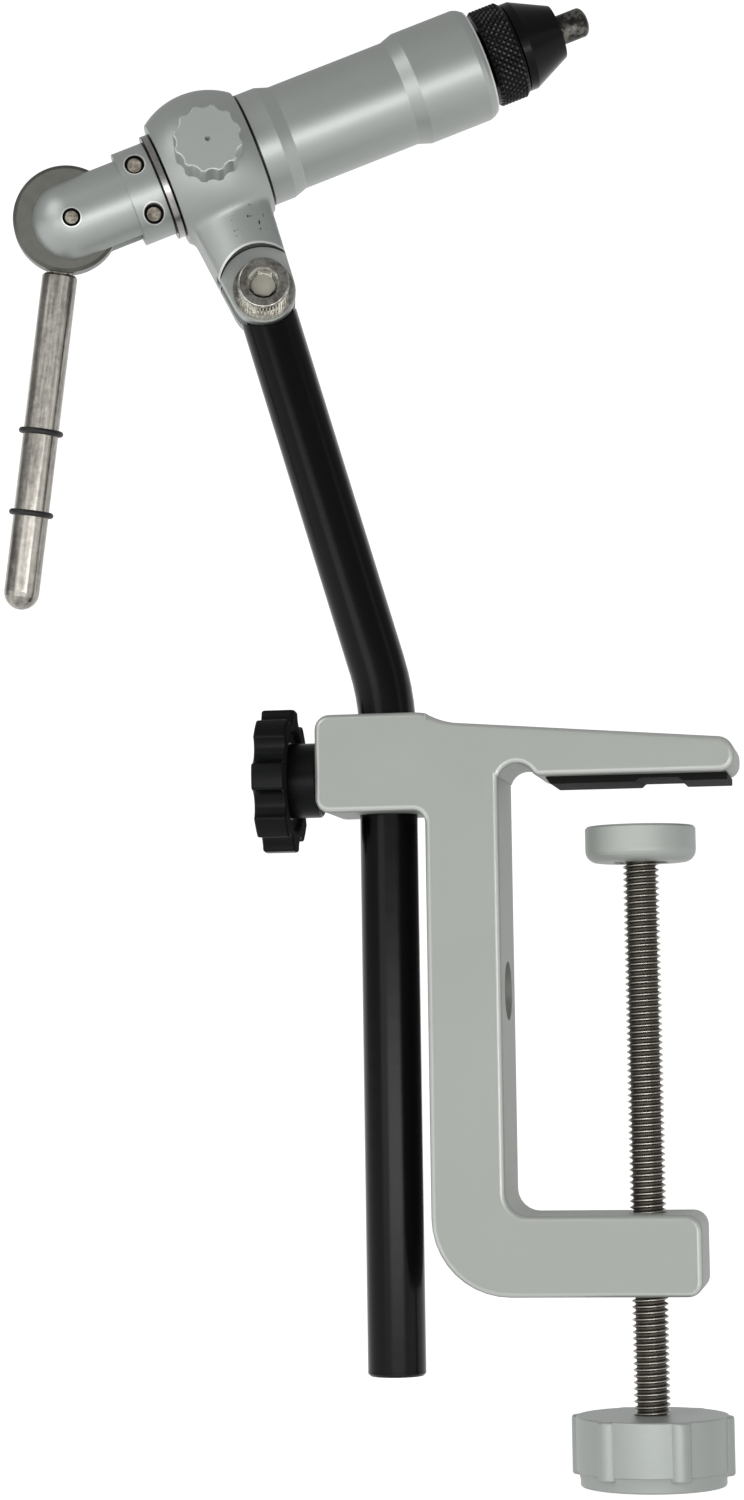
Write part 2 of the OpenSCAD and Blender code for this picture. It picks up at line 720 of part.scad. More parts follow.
// Waisted aluminium barrel on the spindle
module barrel_sleeve() {
    r = barrel_d / 2;
    w = waist_d / 2;
    a = sleeve_u0 + rear_collar_l;
    b = sleeve_u1 - front_collar_l;
    color([0.60, 0.63, 0.61]) at_barrel() turned([
        [sleeve_u0, journal_r + seat], [sleeve_u0, r], [a, r], [a + taper_l, w], [b - taper_l, w], [b, r],
        [sleeve_u1 - sleeve_chamfer * 2, r], [sleeve_u1 - sleeve_chamfer, r - sleeve_chamfer / 3],
        [sleeve_u1, r - sleeve_chamfer], [sleeve_u1, journal_r + seat]]);
}

// Hardened ring between the yoke and the housing
module thrust_washer() {
    color([0.55, 0.54, 0.52]) at_barrel()
        pipe(washer_u0, washer_u0 + thrust_t(), yoke_collar_d * 0.56, journal_r + run);
}

// Yoke with domed cheeks on both sides of the cam
module cam_yoke() {
    color([0.60, 0.63, 0.61]) at_barrel() difference() {
        union() {
            rotate([0, 90, 0]) sphere(r = yoke_r);
            rod(0, collar_u0 + seat, yoke_r);
            rod(collar_u0, collar_u1, yoke_collar_d / 2);
        }
        translate([yoke_slot_end - cam_d, 0, 0]) cube([cam_d * 2, slot_half * 2, cam_d * 2], center = true);
        rod(0, collar_u1 + over, pocket_r);
        rod(spigot_u0, collar_u1 + over, spigot_r + seat);
        across(-yoke_d, yoke_d, pin_d / 2 + seat);
        for (side = [-1, 1]) translate([yoke_pin_u, 0, side * yoke_pin_w])
            across(-barrel_d, barrel_d, yoke_pin_r + seat);
    }
}

// Two pins that hold the yoke on the spindle
module yoke_pins() {
    reach = sqrt(pow(yoke_collar_d / 2, 2) - pow(yoke_pin_w + yoke_pin_r, 2));
    color([0.52, 0.46, 0.40]) at_barrel() for (side = [-1, 1])
        translate([yoke_pin_u, 0, side * yoke_pin_w]) across(-reach, reach, yoke_pin_r - seat);
}

// Pin on which the cam turns
module cam_pivot_pin() {
    reach = yoke_r - gap;
    color([0.62, 0.60, 0.57]) at_barrel() across(-reach, reach, pin_d / 2);
}

// Return spring round the draw bar
module return_spring() {
    n = coil_turns * coil_steps;
    lead = spring_l - 2 * wire_r - run * 2;
    points = [for (i = [0:n]) let (t = 360 * i / coil_steps, u = spring_u0 + wire_r + run + lead * i / n)
        for (j = [0:coil_sides - 1]) let (s = 360 * j / coil_sides, q = coil_r + wire_r * cos(s))
            [u + wire_r * sin(s), q * cos(t), q * sin(t)]];
    sides = [for (i = [0:n - 1]) for (j = [0:coil_sides - 1])
        let (a = i * coil_sides + j, b = i * coil_sides + (j + 1) % coil_sides)
        each [[a, b, b + coil_sides], [a, b + coil_sides, a + coil_sides]]];
    color([0.40, 0.40, 0.40]) at_barrel() polyhedron(points, concat(
        [[for (j = [coil_sides - 1:-1:0]) j]], [[for (j = [0:coil_sides - 1]) n * coil_sides + j]], sides));
}

// Eccentric disc that the lever turns
module cam_disc() {
    color([0.58, 0.58, 0.55]) at_cam() difference() {
        rotate([90, 0, 0]) translate([0, 0, -cam_t / 2]) rotate_extrude() polygon([
            [0, 0], [cam_d / 2 - cam_chamfer, 0], [cam_d / 2, cam_chamfer],
            [cam_d / 2, cam_t - cam_chamfer], [cam_d / 2 - cam_chamfer, cam_t], [0, cam_t]]);
        translate([-cam_u, 0, -cam_w]) across(-cam_t, cam_t, pin_d / 2 + run);
        at_lever() translate([0, 0, cam_d / 2 - spigot_l]) cylinder(h = cam_d, d = spigot_d + seat * 2);
    }
}
module at_lever() {
    rotate([0, 180 + lever_angle, 0]) children();
}

// Lever rod, screwed into the disc, with a round end
module lever_rod() {
    r = lever_d / 2;
    top = lever_start;
    tip = top + lever_l;
    color([0.55, 0.53, 0.49]) at_cam() at_lever() rotate_extrude() polygon(concat(
        [[0, cam_d / 2 - spigot_l], [spigot_d / 2, cam_d / 2 - spigot_l], [spigot_d / 2, top],
         [r - lever_chamfer, top], [r, top + lever_chamfer]],
        [for (a = [0:15:90]) [r * cos(a), tip - r + r * sin(a)]]));
}

// Rubber rings on the lever
module lever_o_rings() {
    color([0.05, 0.05, 0.05]) at_cam() at_lever() for (share = o_ring_share)
        translate([0, 0, lever_start + lever_l * share]) rotate_extrude() translate([o_ring_seat, 0])
            intersection() {
                circle(r = o_ring_r);
                translate([lever_d / 2 + seat - o_ring_seat, -o_ring_r]) square(o_ring_r * 3);
            }
}

// Draw bar between the cam and the collet
module draw_bar() {
    c = spring_u0 - bar_collar_l;
    color([0.50, 0.50, 0.49]) at_barrel() turned([
        [bar_u0, 0], [bar_u0, bar_r], [c, bar_r], [c, bar_collar_r], [spring_u0, bar_collar_r],
        [spring_u0, bar_r], [collet_u0, bar_r], [collet_u0, 0]]);
}

// Split collet whose stub stands out of the nose
module collet() {
    t = nose_u1 - nose_play;
    color([0.22, 0.21, 0.19]) at_barrel() difference() {
        turned(concat(
            [[collet_u0, 0], [collet_u0, stub_r], [spindle_u1 - nose_l, stub_r],
             [spindle_u1 - nose_l, collet_neck_r], [t - taper_len, collet_neck_r], [t, stub_r]],
            [for (a = [0:15:90]) [stub_u1 - stub_dome + stub_dome * sin(a), stub_r * cos(a)]]));
        translate([stub_u1 - slit_l, -slit_w / 2, -stub_d]) cube([slit_l * 2, slit_w, stub_d * 2]);
        rod(stub_u1 - hook_bore_l, stub_u1 + over, hook_bore_r);
    }
}

// Black nose with the taper that closes the collet
module nose_cone() {
    b = nose_u0 + nose_collar_l;
    skirt = nose_thread_r + gap;
    hub = clip_r - clip_wire_r - seat;
    a = nose_u0 - clip_wire_r * 3.6;
    color([0.07, 0.07, 0.08]) at_barrel() turned([
        [a, skirt], [a, hub], [nose_u0, hub],
        [nose_u0, nose_d / 2 - ring_chamfer / 2], [nose_u0 + ring_chamfer / 2, nose_d / 2],
        [b, nose_d / 2], [nose_u1, nose_tip_d / 2], [nose_u1, stub_r + run], [nose_u1 - land_l, stub_r + run],
        [nose_u1 - land_l - taper_len, collet_neck_r + run], [nose_u0 + gap, collet_neck_r + run],
        [nose_u0 + gap, skirt]]);
}

// Wire ring that ties the nose to the adjusting ring
module ring_clip() {
    color([0.45, 0.45, 0.45]) at_barrel() translate([nose_u0 - clip_wire_r * 2, 0, 0]) rotate([0, 90, 0])
        rotate_extrude() translate([clip_r, 0]) circle(r = clip_wire_r);
}

// Adjusting ring with a diamond knurl between two chamfers
module adjusting_ring() {
    r = ring_d / 2;
    m = 2 * knurl_n;
    rows = round((ring_w - 2 * ring_chamfer) / (PI * ring_d / m));
    ends = [[ring_u0, r - ring_chamfer], [ring_u1, r - ring_chamfer]];
    station = [for (j = [0:rows]) ring_u0 + ring_chamfer + (ring_w - 2 * ring_chamfer) * j / rows];
    radius = [for (j = [0:rows]) [for (i = [0:m - 1]) (i + j) % 2 == 0 ? r - knurl_depth : r]];
    grid = concat(
        [for (i = [0:m - 1]) [ends[0][0], ends[0][1], i]],
        [for (j = [0:rows]) for (i = [0:m - 1]) [station[j], radius[j][i], i]],
        [for (i = [0:m - 1]) [ends[1][0], ends[1][1], i]]);
    points = [for (g = grid) [g[0], g[1] * cos(360 * g[2] / m), g[1] * sin(360 * g[2] / m)]];
    faces = [for (j = [0:rows + 1]) for (i = [0:m - 1])
        let (k = (i + 1) % m, a = j * m + i, b = j * m + k, c = a + m, d = b + m, even = (i + j) % 2 == 0)
        each (even ? [[a, b, c], [b, d, c]] : [[a, d, c], [a, b, d]])];
    caps = [[for (i = [m - 1:-1:0]) i], [for (i = [0:m - 1]) (rows + 2) * m + i]];
    color([0.07, 0.07, 0.07]) at_barrel() difference() {
        polyhedron(points, concat(caps, faces));
        rod(ring_u0 - over, ring_u1 + over, nose_thread_r + run);
        rod(nose_u0 - clip_wire_r * 4, ring_u1 + over, clip_r + clip_wire_r * 2);
    }
}

clamp_frame();
jaw_rubber();
swivel_pad();
pad_retainer();
clamp_screw();
clamp_knob();
knob_grub_screw();
lock_shoe();
lock_stud();
lock_knob();
stem_plug();
stem();
head_housing();
rear_bush();
front_bush();
pivot_bolt();
pivot_washers();
pivot_nut();
drag_shoe();
drag_screw();
drag_knob();
spindle();
barrel_sleeve();
thrust_washer();
cam_yoke();
yoke_pins();
cam_pivot_pin();
return_spring();
cam_disc();
lever_rod();
lever_o_rings();
draw_bar();
collet();
nose_cone();
ring_clip();
adjusting_ring();
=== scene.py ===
import math
import bmesh
import bpy
from mathutils import Matrix, Vector


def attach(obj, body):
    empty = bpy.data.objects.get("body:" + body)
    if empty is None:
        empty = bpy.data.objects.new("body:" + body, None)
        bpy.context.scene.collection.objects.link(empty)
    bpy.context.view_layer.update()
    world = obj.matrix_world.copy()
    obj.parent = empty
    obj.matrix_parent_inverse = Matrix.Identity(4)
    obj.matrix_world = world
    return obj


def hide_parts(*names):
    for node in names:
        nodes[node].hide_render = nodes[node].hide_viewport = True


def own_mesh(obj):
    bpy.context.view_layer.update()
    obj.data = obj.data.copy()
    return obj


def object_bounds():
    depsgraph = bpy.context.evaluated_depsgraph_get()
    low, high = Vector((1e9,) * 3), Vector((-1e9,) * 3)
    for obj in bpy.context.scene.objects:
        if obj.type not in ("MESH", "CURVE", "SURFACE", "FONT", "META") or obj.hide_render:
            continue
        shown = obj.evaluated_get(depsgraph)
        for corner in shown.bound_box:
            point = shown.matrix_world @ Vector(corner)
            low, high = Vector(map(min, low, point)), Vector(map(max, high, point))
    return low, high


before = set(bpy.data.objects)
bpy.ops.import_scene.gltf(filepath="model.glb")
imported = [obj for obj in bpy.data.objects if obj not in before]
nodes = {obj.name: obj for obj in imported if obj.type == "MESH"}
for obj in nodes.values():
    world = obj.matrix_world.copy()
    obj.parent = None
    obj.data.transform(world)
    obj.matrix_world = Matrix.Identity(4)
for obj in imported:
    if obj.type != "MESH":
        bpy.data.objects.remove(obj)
cad_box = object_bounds()

# Clamp frame
# The C-shaped frame is cast aluminium, blasted to a fine even grey. Its edges are rounded,
# and it is drilled for the stem, the lock and the screw, with a blind socket in the spine.
mm = 0.001


class Tone:
    """A value in a finish, which adds, takes away and multiplies like a number."""

    def __init__(self, finish, socket):
        self.finish = finish
        self.socket = socket

    def __add__(self, other):
        return self.finish.sum("ADD", self, other)

    def __radd__(self, other):
        return self.finish.sum("ADD", other, self)

    def __sub__(self, other):
        return self.finish.sum("SUBTRACT", self, other)

    def __rsub__(self, other):
        return self.finish.sum("SUBTRACT", other, self)

    def __mul__(self, other):
        return self.finish.sum("MULTIPLY", self, other)

    def __rmul__(self, other):
        return self.finish.sum("MULTIPLY", other, self)

    def between(self, low, high):
        """Goes softly from 0 at low to 1 at high."""
        return self.finish.node("MapRange", {"interpolation_type": "SMOOTHSTEP"},
                                {0: self, 1: low, 2: high})

    def band(self, start, full, waning, end):
        """Goes softly from 0 at start to 1 at full, and from waning back to 0 at end."""
        return self.between(start, full) * (1 - self.between(waning, end))


class Finish:
    """The finish of a surface, made of nodes."""

    def __init__(self, name):
        self.material = bpy.data.materials.new(name)
        self.material.use_nodes = True
        self.tree = self.material.node_tree
        self.shader = self.tree.nodes["Principled BSDF"]

    def node(self, kind, settings, values, output=0):
        """Adds a node with its settings and the values or links of its sockets.
        What it returns is one of the node's outputs."""
        made = self.tree.nodes.new("ShaderNode" + kind)
        for name, setting in settings.items():
            if name == "stops":
                while len(made.color_ramp.elements) < len(setting):
                    made.color_ramp.elements.new(0.5)
                for stop, (place, shade) in zip(made.color_ramp.elements, setting):
                    stop.position = place
                    stop.color = shade
            else:
                setattr(made, name, setting)
        for name, value in values.items():
            self.fill(made.inputs[name], value)
        return Tone(self, made.outputs[output])

    def fill(self, socket, value):
        """Links a tone to a socket, or sets the socket to a plain value."""
        if isinstance(value, Tone):
            self.tree.links.new(value.socket, socket)
        else:
            socket.default_value = value

    def set(self, **values):
        """Fills the shader's sockets; an underscore stands for a space."""
        for name, value in values.items():
            self.fill(self.shader.inputs[name.replace("_", " ")], value)

    def place(self):
        """Where a point is on the object, in metres."""
        return self.node("TexCoord", {}, {}, "Object")

    def speckle(self, size, detail=2.0, rough=0.5, place=None):
        """Cloudy noise from 0 to 1 whose clouds are about that size in metres."""
        return self.node("TexNoise", {"noise_dimensions": "3D"}, {
            "Vector": place or self.place(), "Scale": 1 / size,
            "Detail": detail, "Roughness": rough})

    def blend(self, amount, low, high):
        """A colour between two colours."""
        return self.node("Mix", {"data_type": "RGBA"}, {0: amount, 6: low, 7: high}, 2)

    def relief(self, height, depth):
        """Turns a height from 0 to 1 into slopes, that many metres deep."""
        return self.node("Bump", {}, {"Height": height, "Distance": depth, "Strength": 1.0})

    def along(self, point, way):
        """How far along a line a place lies."""
        away = self.node("VectorMath", {"operation": "SUBTRACT"}, {0: self.place(), 1: point})
        return self.node("VectorMath", {"operation": "DOT_PRODUCT"}, {0: away, 1: way}, "Value")

    def from_line(self, point, way):
        """How far from a line a place lies."""
        away = self.node("VectorMath", {"operation": "SUBTRACT"}, {0: self.place(), 1: point})
        foot = self.node("VectorMath", {"operation": "SCALE"},
                         {0: way, "Scale": self.along(point, way)})
        off = self.node("VectorMath", {"operation": "SUBTRACT"}, {0: away, 1: foot})
        return self.node("VectorMath", {"operation": "LENGTH"}, {0: off}, "Value")

    def least(self, first, *others):
        """The smallest of several values."""
        for other in others:
            first = self.sum("MINIMUM", first, other)
        return first

    def either(self, first, second):
        """The larger of two values."""
        return self.sum("MAXIMUM", first, second)

    def sum(self, operation, first, second):
        """One sum of two values: ADD, MULTIPLY, MAXIMUM and so on."""
        return self.node("Math", {"operation": operation}, {0: first, 1: second})

    def on(self, *pieces):
        """Puts the finish on pieces, in place of what they had."""
        for piece in pieces:
            piece.data.materials.clear()
            piece.data.materials.append(self.material)


def put_down():
    """Leaves edit mode with nothing selected."""
    if bpy.context.object and bpy.context.object.mode != "OBJECT":
        bpy.ops.object.mode_set(mode="OBJECT")
    bpy.ops.object.select_all(action="DESELECT")


def take(piece):
    """Makes the piece the only one selected and the active one."""
    put_down()
    piece.select_set(True)
    bpy.context.view_layer.objects.active = piece


def pick(piece, kind, test):
    """In edit mode, selects the piece's verts, edges or faces that pass the test."""
    if bpy.context.object is not piece or piece.mode != "EDIT":
        take(piece)
        bpy.ops.object.mode_set(mode="EDIT")
    bpy.ops.mesh.select_all(action="DESELECT")
    bpy.ops.mesh.select_mode(type={"verts": "VERT", "edges": "EDGE", "faces": "FACE"}[kind])
    mesh = bmesh.from_edit_mesh(piece.data)
    for part in getattr(mesh, kind):
        if test(part):
            part.select = True
    mesh.select_flush_mode()
    bmesh.update_edit_mesh(piece.data)


def middle(edge):
    """The middle of an edge."""
    return (edge.verts[0].co + edge.verts[1].co) / 2


def block(name, low, high):
    """A block between two corners, to be shaped further."""
    put_down()
    low, high = Vector(low), Vector(high)
    bpy.ops.mesh.primitive_cube_add(size=1, location=(low + high) / 2, scale=high - low)
    piece = bpy.context.object
    piece.name = piece.data.name = name
    bpy.ops.object.transform_apply(location=True, rotation=True, scale=True)
    return piece


def round_bar(name, foot, way, length, radius, sides=64):
    """A round bar from its foot, to be shaped further or to drill with."""
    put_down()
    way = Vector(way).normalized()
    bpy.ops.mesh.primitive_cylinder_add(vertices=sides, radius=radius, depth=length)
    piece = bpy.context.object
    piece.name = piece.data.name = name
    turn = Vector((0, 0, 1)).rotation_difference(way).to_matrix().to_4x4()
    piece.matrix_world = Matrix.Translation(Vector(foot) + way * length / 2) @ turn
    bpy.ops.object.transform_apply(location=True, rotation=True, scale=True)
    return piece


def apply(piece, kind, **settings):
    """Adds a modifier and applies it."""
    take(piece)
    added = piece.modifiers.new(kind.lower(), kind)
    for name, setting in settings.items():
        setattr(added, name, setting)
    bpy.ops.object.modifier_apply(modifier=added.name)


def cut(piece, *cutters, keep="DIFFERENCE"):
    """Drills or mills the piece with cutters, which are used up."""
    for cutter in cutters:
        apply(piece, "BOOLEAN", object=cutter, operation=keep, solver="EXACT")
        bpy.data.objects.remove(cutter)


def joined(first, *others):
    """Several bars as one, for cutting in one go."""
    put_down()
    for other in (first, *others):
        other.select_set(True)
    bpy.context.view_layer.objects.active = first
    bpy.ops.object.join()
    return first


def smooth(piece, degrees=30):
    """Soft shading, with a crisp line where faces meet more sharply than this."""
    take(piece)
    bpy.ops.object.shade_smooth_by_angle(angle=math.radians(degrees))
    apply(piece, "WEIGHTED_NORMAL", keep_sharp=True, weight=90)
    put_down()


half_t, edge_r = 9.5 * mm, 1.0 * mm
spine_out, spine_in = -25.2 * mm, -13.1 * mm
arm_tip, arm_low, arm_end_z, arm_root_z = 25 * mm, 1.2 * mm, 6.7 * mm, 10.5 * mm
boss_end, boss_top, boss_low = -43.26 * mm, 12.2 * mm, -3.9 * mm
throat_low, base, foot_end = -69.3 * mm, -82.3 * mm, 18.2 * mm
step_x = -22.65 * mm
stem_x, lock_z, screw_x, socket_z = -32.46 * mm, 2.15 * mm, 9 * mm, -33.2 * mm
bore_r, mouth_r, mouth_h = 4.81 * mm, 5.81 * mm, 1 * mm
lock_bore_r, screw_bore_r, socket_r, socket_depth = 3.05 * mm, 3 * mm, 4.8 * mm, 9 * mm
relief_r, relief_drop, lip_x0, lip_x1, lip_r = 3 * mm, 0.9 * mm, -7.7 * mm, -6.293 * mm, 1.5 * mm
lip_low, lip_high, root_fall = arm_low - 0.1 * mm, arm_low + 0.7 * mm, 0.76 * mm
through, past, hair = 40 * mm, 10 * mm, 0.001 * mm

clamp = block("clamp_casting", (spine_out, -half_t, base), (spine_in, half_t, throat_low))


def pull(way, reach):
    """Draws the selected faces out along way by reach."""
    bpy.ops.mesh.extrude_region_move(TRANSFORM_OT_translate={"value": Vector(way) * reach})


def facing(way, low=None, high=None):
    """A test for faces that look that way and whose middle lies between two corners."""
    way = Vector(way)

    def test(face):
        centre = face.calc_center_median()
        inside = low is None or all(a - hair <= c <= b + hair for a, c, b in zip(low, centre, high))
        return face.normal.dot(way) > 0.99 and inside
    return test


pick(clamp, "faces", facing((1, 0, 0)))
pull((1, 0, 0), foot_end - spine_in)
pick(clamp, "faces", facing((0, 0, 1), (spine_out, -1, throat_low), (spine_in, 1, throat_low)))
pull((0, 0, 1), boss_low - throat_low)
pull((0, 0, 1), arm_low - boss_low)
pull((0, 0, 1), boss_top - arm_low)
pick(clamp, "faces", facing((1, 0, 0), (spine_in, -1, arm_low), (spine_in, 1, 1)))
pull((1, 0, 0), arm_tip - spine_in)
pick(clamp, "faces", facing((-1, 0, 0), (spine_out, -1, boss_low), (spine_out, 1, 1)))
pull((-1, 0, 0), spine_out - boss_end)
bpy.ops.mesh.select_all(action="SELECT")
bpy.ops.mesh.bisect(plane_co=(step_x, 0, 0), plane_no=(1, 0, 0))
for x, z in ((step_x, arm_root_z), (spine_in, arm_root_z - root_fall), (arm_tip, arm_end_z)):
    pick(clamp, "verts", lambda v: abs(v.co.x - x) < hair and abs(v.co.z - boss_top) < hair)
    bpy.ops.transform.translate(value=(0, 0, z - boss_top))
bpy.ops.mesh.select_all(action="SELECT")
bpy.ops.mesh.dissolve_limited(angle_limit=math.radians(1))
undercut = round_bar("undercut", (spine_in + relief_r, -through / 2, arm_low - relief_drop),
                     (0, 1, 0), through, relief_r, 48)
relief_lip = block("relief_lip", (lip_x0, -through / 2, lip_low), (lip_x1, through / 2, lip_high))
cut(relief_lip, round_bar("lip_round", (lip_x1, -through, arm_low + lip_r), (0, 1, 0),
                          2 * through, lip_r, 64))
cut(clamp, undercut, relief_lip)


def corner(x, z):
    """A test for the edge that runs from front to back through this corner of the outline."""
    near = 0.02 * mm
    return lambda e: all(abs(v.co.x - x) < near and abs(v.co.z - z) < near for v in e.verts)


def outline(edge):
    """A test for the edges between the flat sides and the rim."""
    tilts = [abs(face.normal.y) for face in edge.link_faces]
    return (len(tilts) == 2 and max(tilts) > 0.9 and min(tilts) < 0.1
            and all(abs(abs(v.co.y) - half_t) < hair for v in edge.verts))


def rounded(piece, test, offset, segments=3):
    """Rounds the piece's edges that pass the test."""
    pick(piece, "edges", test)
    bpy.ops.mesh.bevel(offset=offset, segments=segments, affect="EDGES")
    put_down()


for x, z, radius in ((spine_out, base, 12.6), (spine_in, throat_low, 3.7),
                     (foot_end, base, 2.4), (foot_end, throat_low, 2.4),
                     (arm_tip, arm_low, 2.3), (arm_tip, arm_end_z, 2.4),
                     (step_x, arm_root_z, 2.6), (spine_out, boss_top, 2.2),
                     (boss_end, boss_top, 2.4), (boss_end, boss_low, 2.4),
                     (spine_out, boss_low, 1.9)):
    rounded(clamp, corner(x, z), radius * mm, 10 if radius > 5 else 6)
rounded(clamp, outline, edge_r, 4)
mouth = round_bar("bore_mouth", (stem_x, 0, boss_top - mouth_h), (0, 0, 1), 2 * mouth_h, bore_r, 96)
pick(mouth, "verts", lambda v: v.co.z > boss_top)
bpy.ops.transform.resize(value=(mouth_r / bore_r, mouth_r / bore_r, 1),
                         center_override=(stem_x, 0, boss_top))
cut(clamp, mouth,
    round_bar("stem_bore", (stem_x, 0, boss_low - past), (0, 0, 1), through, bore_r, 96),
    round_bar("lock_bore", (boss_end - past, 0, lock_z), (1, 0, 0),
              stem_x - boss_end + past, lock_bore_r, 48),
    round_bar("screw_bore", (screw_x, 0, base - past), (0, 0, 1),
              throat_low - base + 2 * past, screw_bore_r, 48),
    round_bar("socket_bore", (spine_in - socket_depth, 0, socket_z), (1, 0, 0),
              socket_depth + past, socket_r, 72))
smooth(clamp, 35)

blasted = Finish("blasted_grey")
grain = blasted.speckle(0.22 * mm, 3.0, 0.6)
mottle = blasted.speckle(14 * mm, 2.0)
across = blasted.along((0, 0, 0), (0, 1, 0))
from_mid = blasted.either(across, 0 - across)
# Painted highlight: the rounded edges of both faces are painted brighter, more metallic and less
# rough, for light caught on the edges.
painted_edge_highlight = from_mid.band(8.9 * mm, 9.2 * mm, 9.42 * mm, 9.49 * mm)
grey = blasted.blend(mottle * 0.6 + grain * 0.4, (0.385, 0.41, 0.375, 1), (0.445, 0.47, 0.435, 1))
blasted.set(
    Base_Color=blasted.blend(painted_edge_highlight, grey, (0.60, 0.62, 0.59, 1)),
    Metallic=0.25 + painted_edge_highlight * 0.45,
    Roughness=0.46 + grain * 0.12 - painted_edge_highlight * 0.14,
    Normal=blasted.relief(grain, 0.012 * mm))
blasted.on(clamp)
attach(clamp, "clamp")
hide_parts("clamp_frame")

# Jaw rubber
# A strip of charcoal rubber glued under the upper arm, with a shallow groove
# across it. It is cut from sheet, so its edges are square with the least round.
strip_x0, strip_x1, strip_w, strip_t = -5.6 * mm, 23.8 * mm, 15 * mm, 1.18 * mm
groove_x0, groove_x1, groove_depth, end_slant = 9 * mm, 16.5 * mm, 0.6 * mm, 0.8 * mm
strip_round = 0.15 * mm
strip = block("rubber_strip", (strip_x0, -strip_w / 2, 0), (strip_x1, strip_w / 2, strip_t))
take(strip)
bpy.ops.object.mode_set(mode="EDIT")
for x in (groove_x0, groove_x0 + groove_depth, groove_x1 - groove_depth, groove_x1):
    bpy.ops.mesh.select_all(action="SELECT")
    bpy.ops.mesh.bisect(plane_co=(x, 0, 0), plane_no=(1, 0, 0))
pick(strip, "verts", lambda v: v.co.z < hair and groove_x0 + hair < v.co.x < groove_x1 - hair)
bpy.ops.transform.translate(value=(0, 0, groove_depth))
pick(strip, "verts", lambda v: v.co.z < hair and v.co.x < strip_x0 + hair)
bpy.ops.transform.translate(value=(end_slant, 0, 0))


def sharp(degrees, where=lambda e: True):
    """A test for edges sharper than this, all of them or those that pass another test."""
    def test(edge):
        return (len(edge.link_faces) == 2 and edge.calc_face_angle(0) > math.radians(degrees)
                and where(edge))
    return test


rounded(strip, sharp(40), strip_round, 2)
smooth(strip, 40)

rubber = Finish("charcoal_rubber")
crumb = rubber.speckle(0.35 * mm, 4.0, 0.7)
rubber.set(
    Base_Color=rubber.blend(crumb, (0.004, 0.004, 0.0038, 1), (0.012, 0.012, 0.011, 1)),
    Specular_IOR_Level=0.2,
    Roughness=0.75 + crumb * 0.2,
    Normal=rubber.relief(crumb, 0.03 * mm))
rubber.on(strip)
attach(strip, "clamp")
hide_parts("jaw_rubber")

# Swivel pad
# A turned aluminium pad with the same even grey, kept on the screw by a bright
# steel ring in the recess of its underside.
pad_grey = Finish("pad_grey")
pad_grain = pad_grey.speckle(0.25 * mm, 3.0, 0.6)
pad_grey.set(
    Base_Color=pad_grey.blend(pad_grain, (0.46, 0.49, 0.46, 1), (0.52, 0.55, 0.52, 1)),
    Metallic=0.3,
    Roughness=0.44 + pad_grain * 0.12,
    Normal=pad_grey.relief(pad_grain, 0.01 * mm))
pad_grey.on(nodes["swivel_pad"])

bright = Finish("bright_steel")
scuff = bright.speckle(1.2 * mm, 5.0, 0.65)
bright.set(
    Base_Color=bright.blend(scuff, (0.28, 0.27, 0.25, 1), (0.52, 0.51, 0.48, 1)),
    Metallic=1.0,
    Roughness=0.14 + scuff * 0.18,
    Normal=bright.relief(scuff, 0.01 * mm))
bright.on(nodes["pad_retainer"])

# Clamp screw
# A long stainless screw, one millimetre a turn, rolled and a little worn, so that
# its crests are bright and warm dirt lies in its grooves.
screw_r, screw_top, screw_low, pitch = 2.95 * mm, -8.275 * mm, -110.5 * mm, 1.0 * mm
thread_depth, top_round, weld, merge, closed = 0.6 * mm, 0.4 * mm, 0.004 * mm, 0.01 * mm, 0.001
root_r = screw_r - thread_depth
core_r = root_r + 0.02 * mm
# One turn of the thread from the side: how far out, and how far up in turns.
ridge = [(root_r, 0), (root_r, 0.18), (screw_r, 0.46),
         (screw_r, 0.60), (root_r, 0.9), (root_r, 1.0)]
thread_low = screw_low + pitch
turns = int((screw_top - thread_low) / pitch) - 1
put_down()
bpy.ops.mesh.primitive_plane_add(size=1)
screw = bpy.context.object
screw.name = screw.data.name = "long_screw"
bpy.ops.object.mode_set(mode="EDIT")
bpy.ops.mesh.select_mode(type="VERT")
bpy.ops.mesh.select_all(action="SELECT")
bpy.ops.mesh.merge(type="CENTER")
bpy.ops.transform.translate(value=(root_r, 0, thread_low))
for (r, z), (next_r, next_z) in zip(ridge, ridge[1:]):
    pull((next_r - r, 0, (next_z - z) * pitch), 1)
bpy.ops.object.mode_set(mode="OBJECT")
apply(screw, "SCREW", axis="Z", screw_offset=pitch, iterations=turns, steps=28, render_steps=28,
      use_merge_vertices=True, merge_threshold=weld, use_smooth_shade=True)
pick(screw, "verts", lambda v: True)
bpy.ops.mesh.remove_doubles(threshold=merge)
for end in (thread_low + pitch / 2, thread_low + (turns + 0.5) * pitch):
    pick(screw, "edges", lambda e: len(e.link_faces) == 1 and abs(middle(e).z - end) < pitch)
    pull((0, 0, 1), 0)
    bpy.ops.transform.resize(value=(closed, closed, closed), center_override=(0, 0, end))
    bpy.ops.mesh.remove_doubles(threshold=2 * merge)
bpy.ops.mesh.select_all(action="SELECT")
bpy.ops.mesh.normals_make_consistent(inside=False)
take(screw)
screw.data.transform(Matrix.Translation((screw_x, 0, 0)))
core = round_bar("screw_core", (screw_x, 0, screw_low), (0, 0, 1), screw_top - screw_low,
                 core_r, 48)
rounded(core, sharp(60, lambda e: middle(e).z > screw_top - hair), top_round, 2)
screw = joined(screw, core)
smooth(screw, 25)

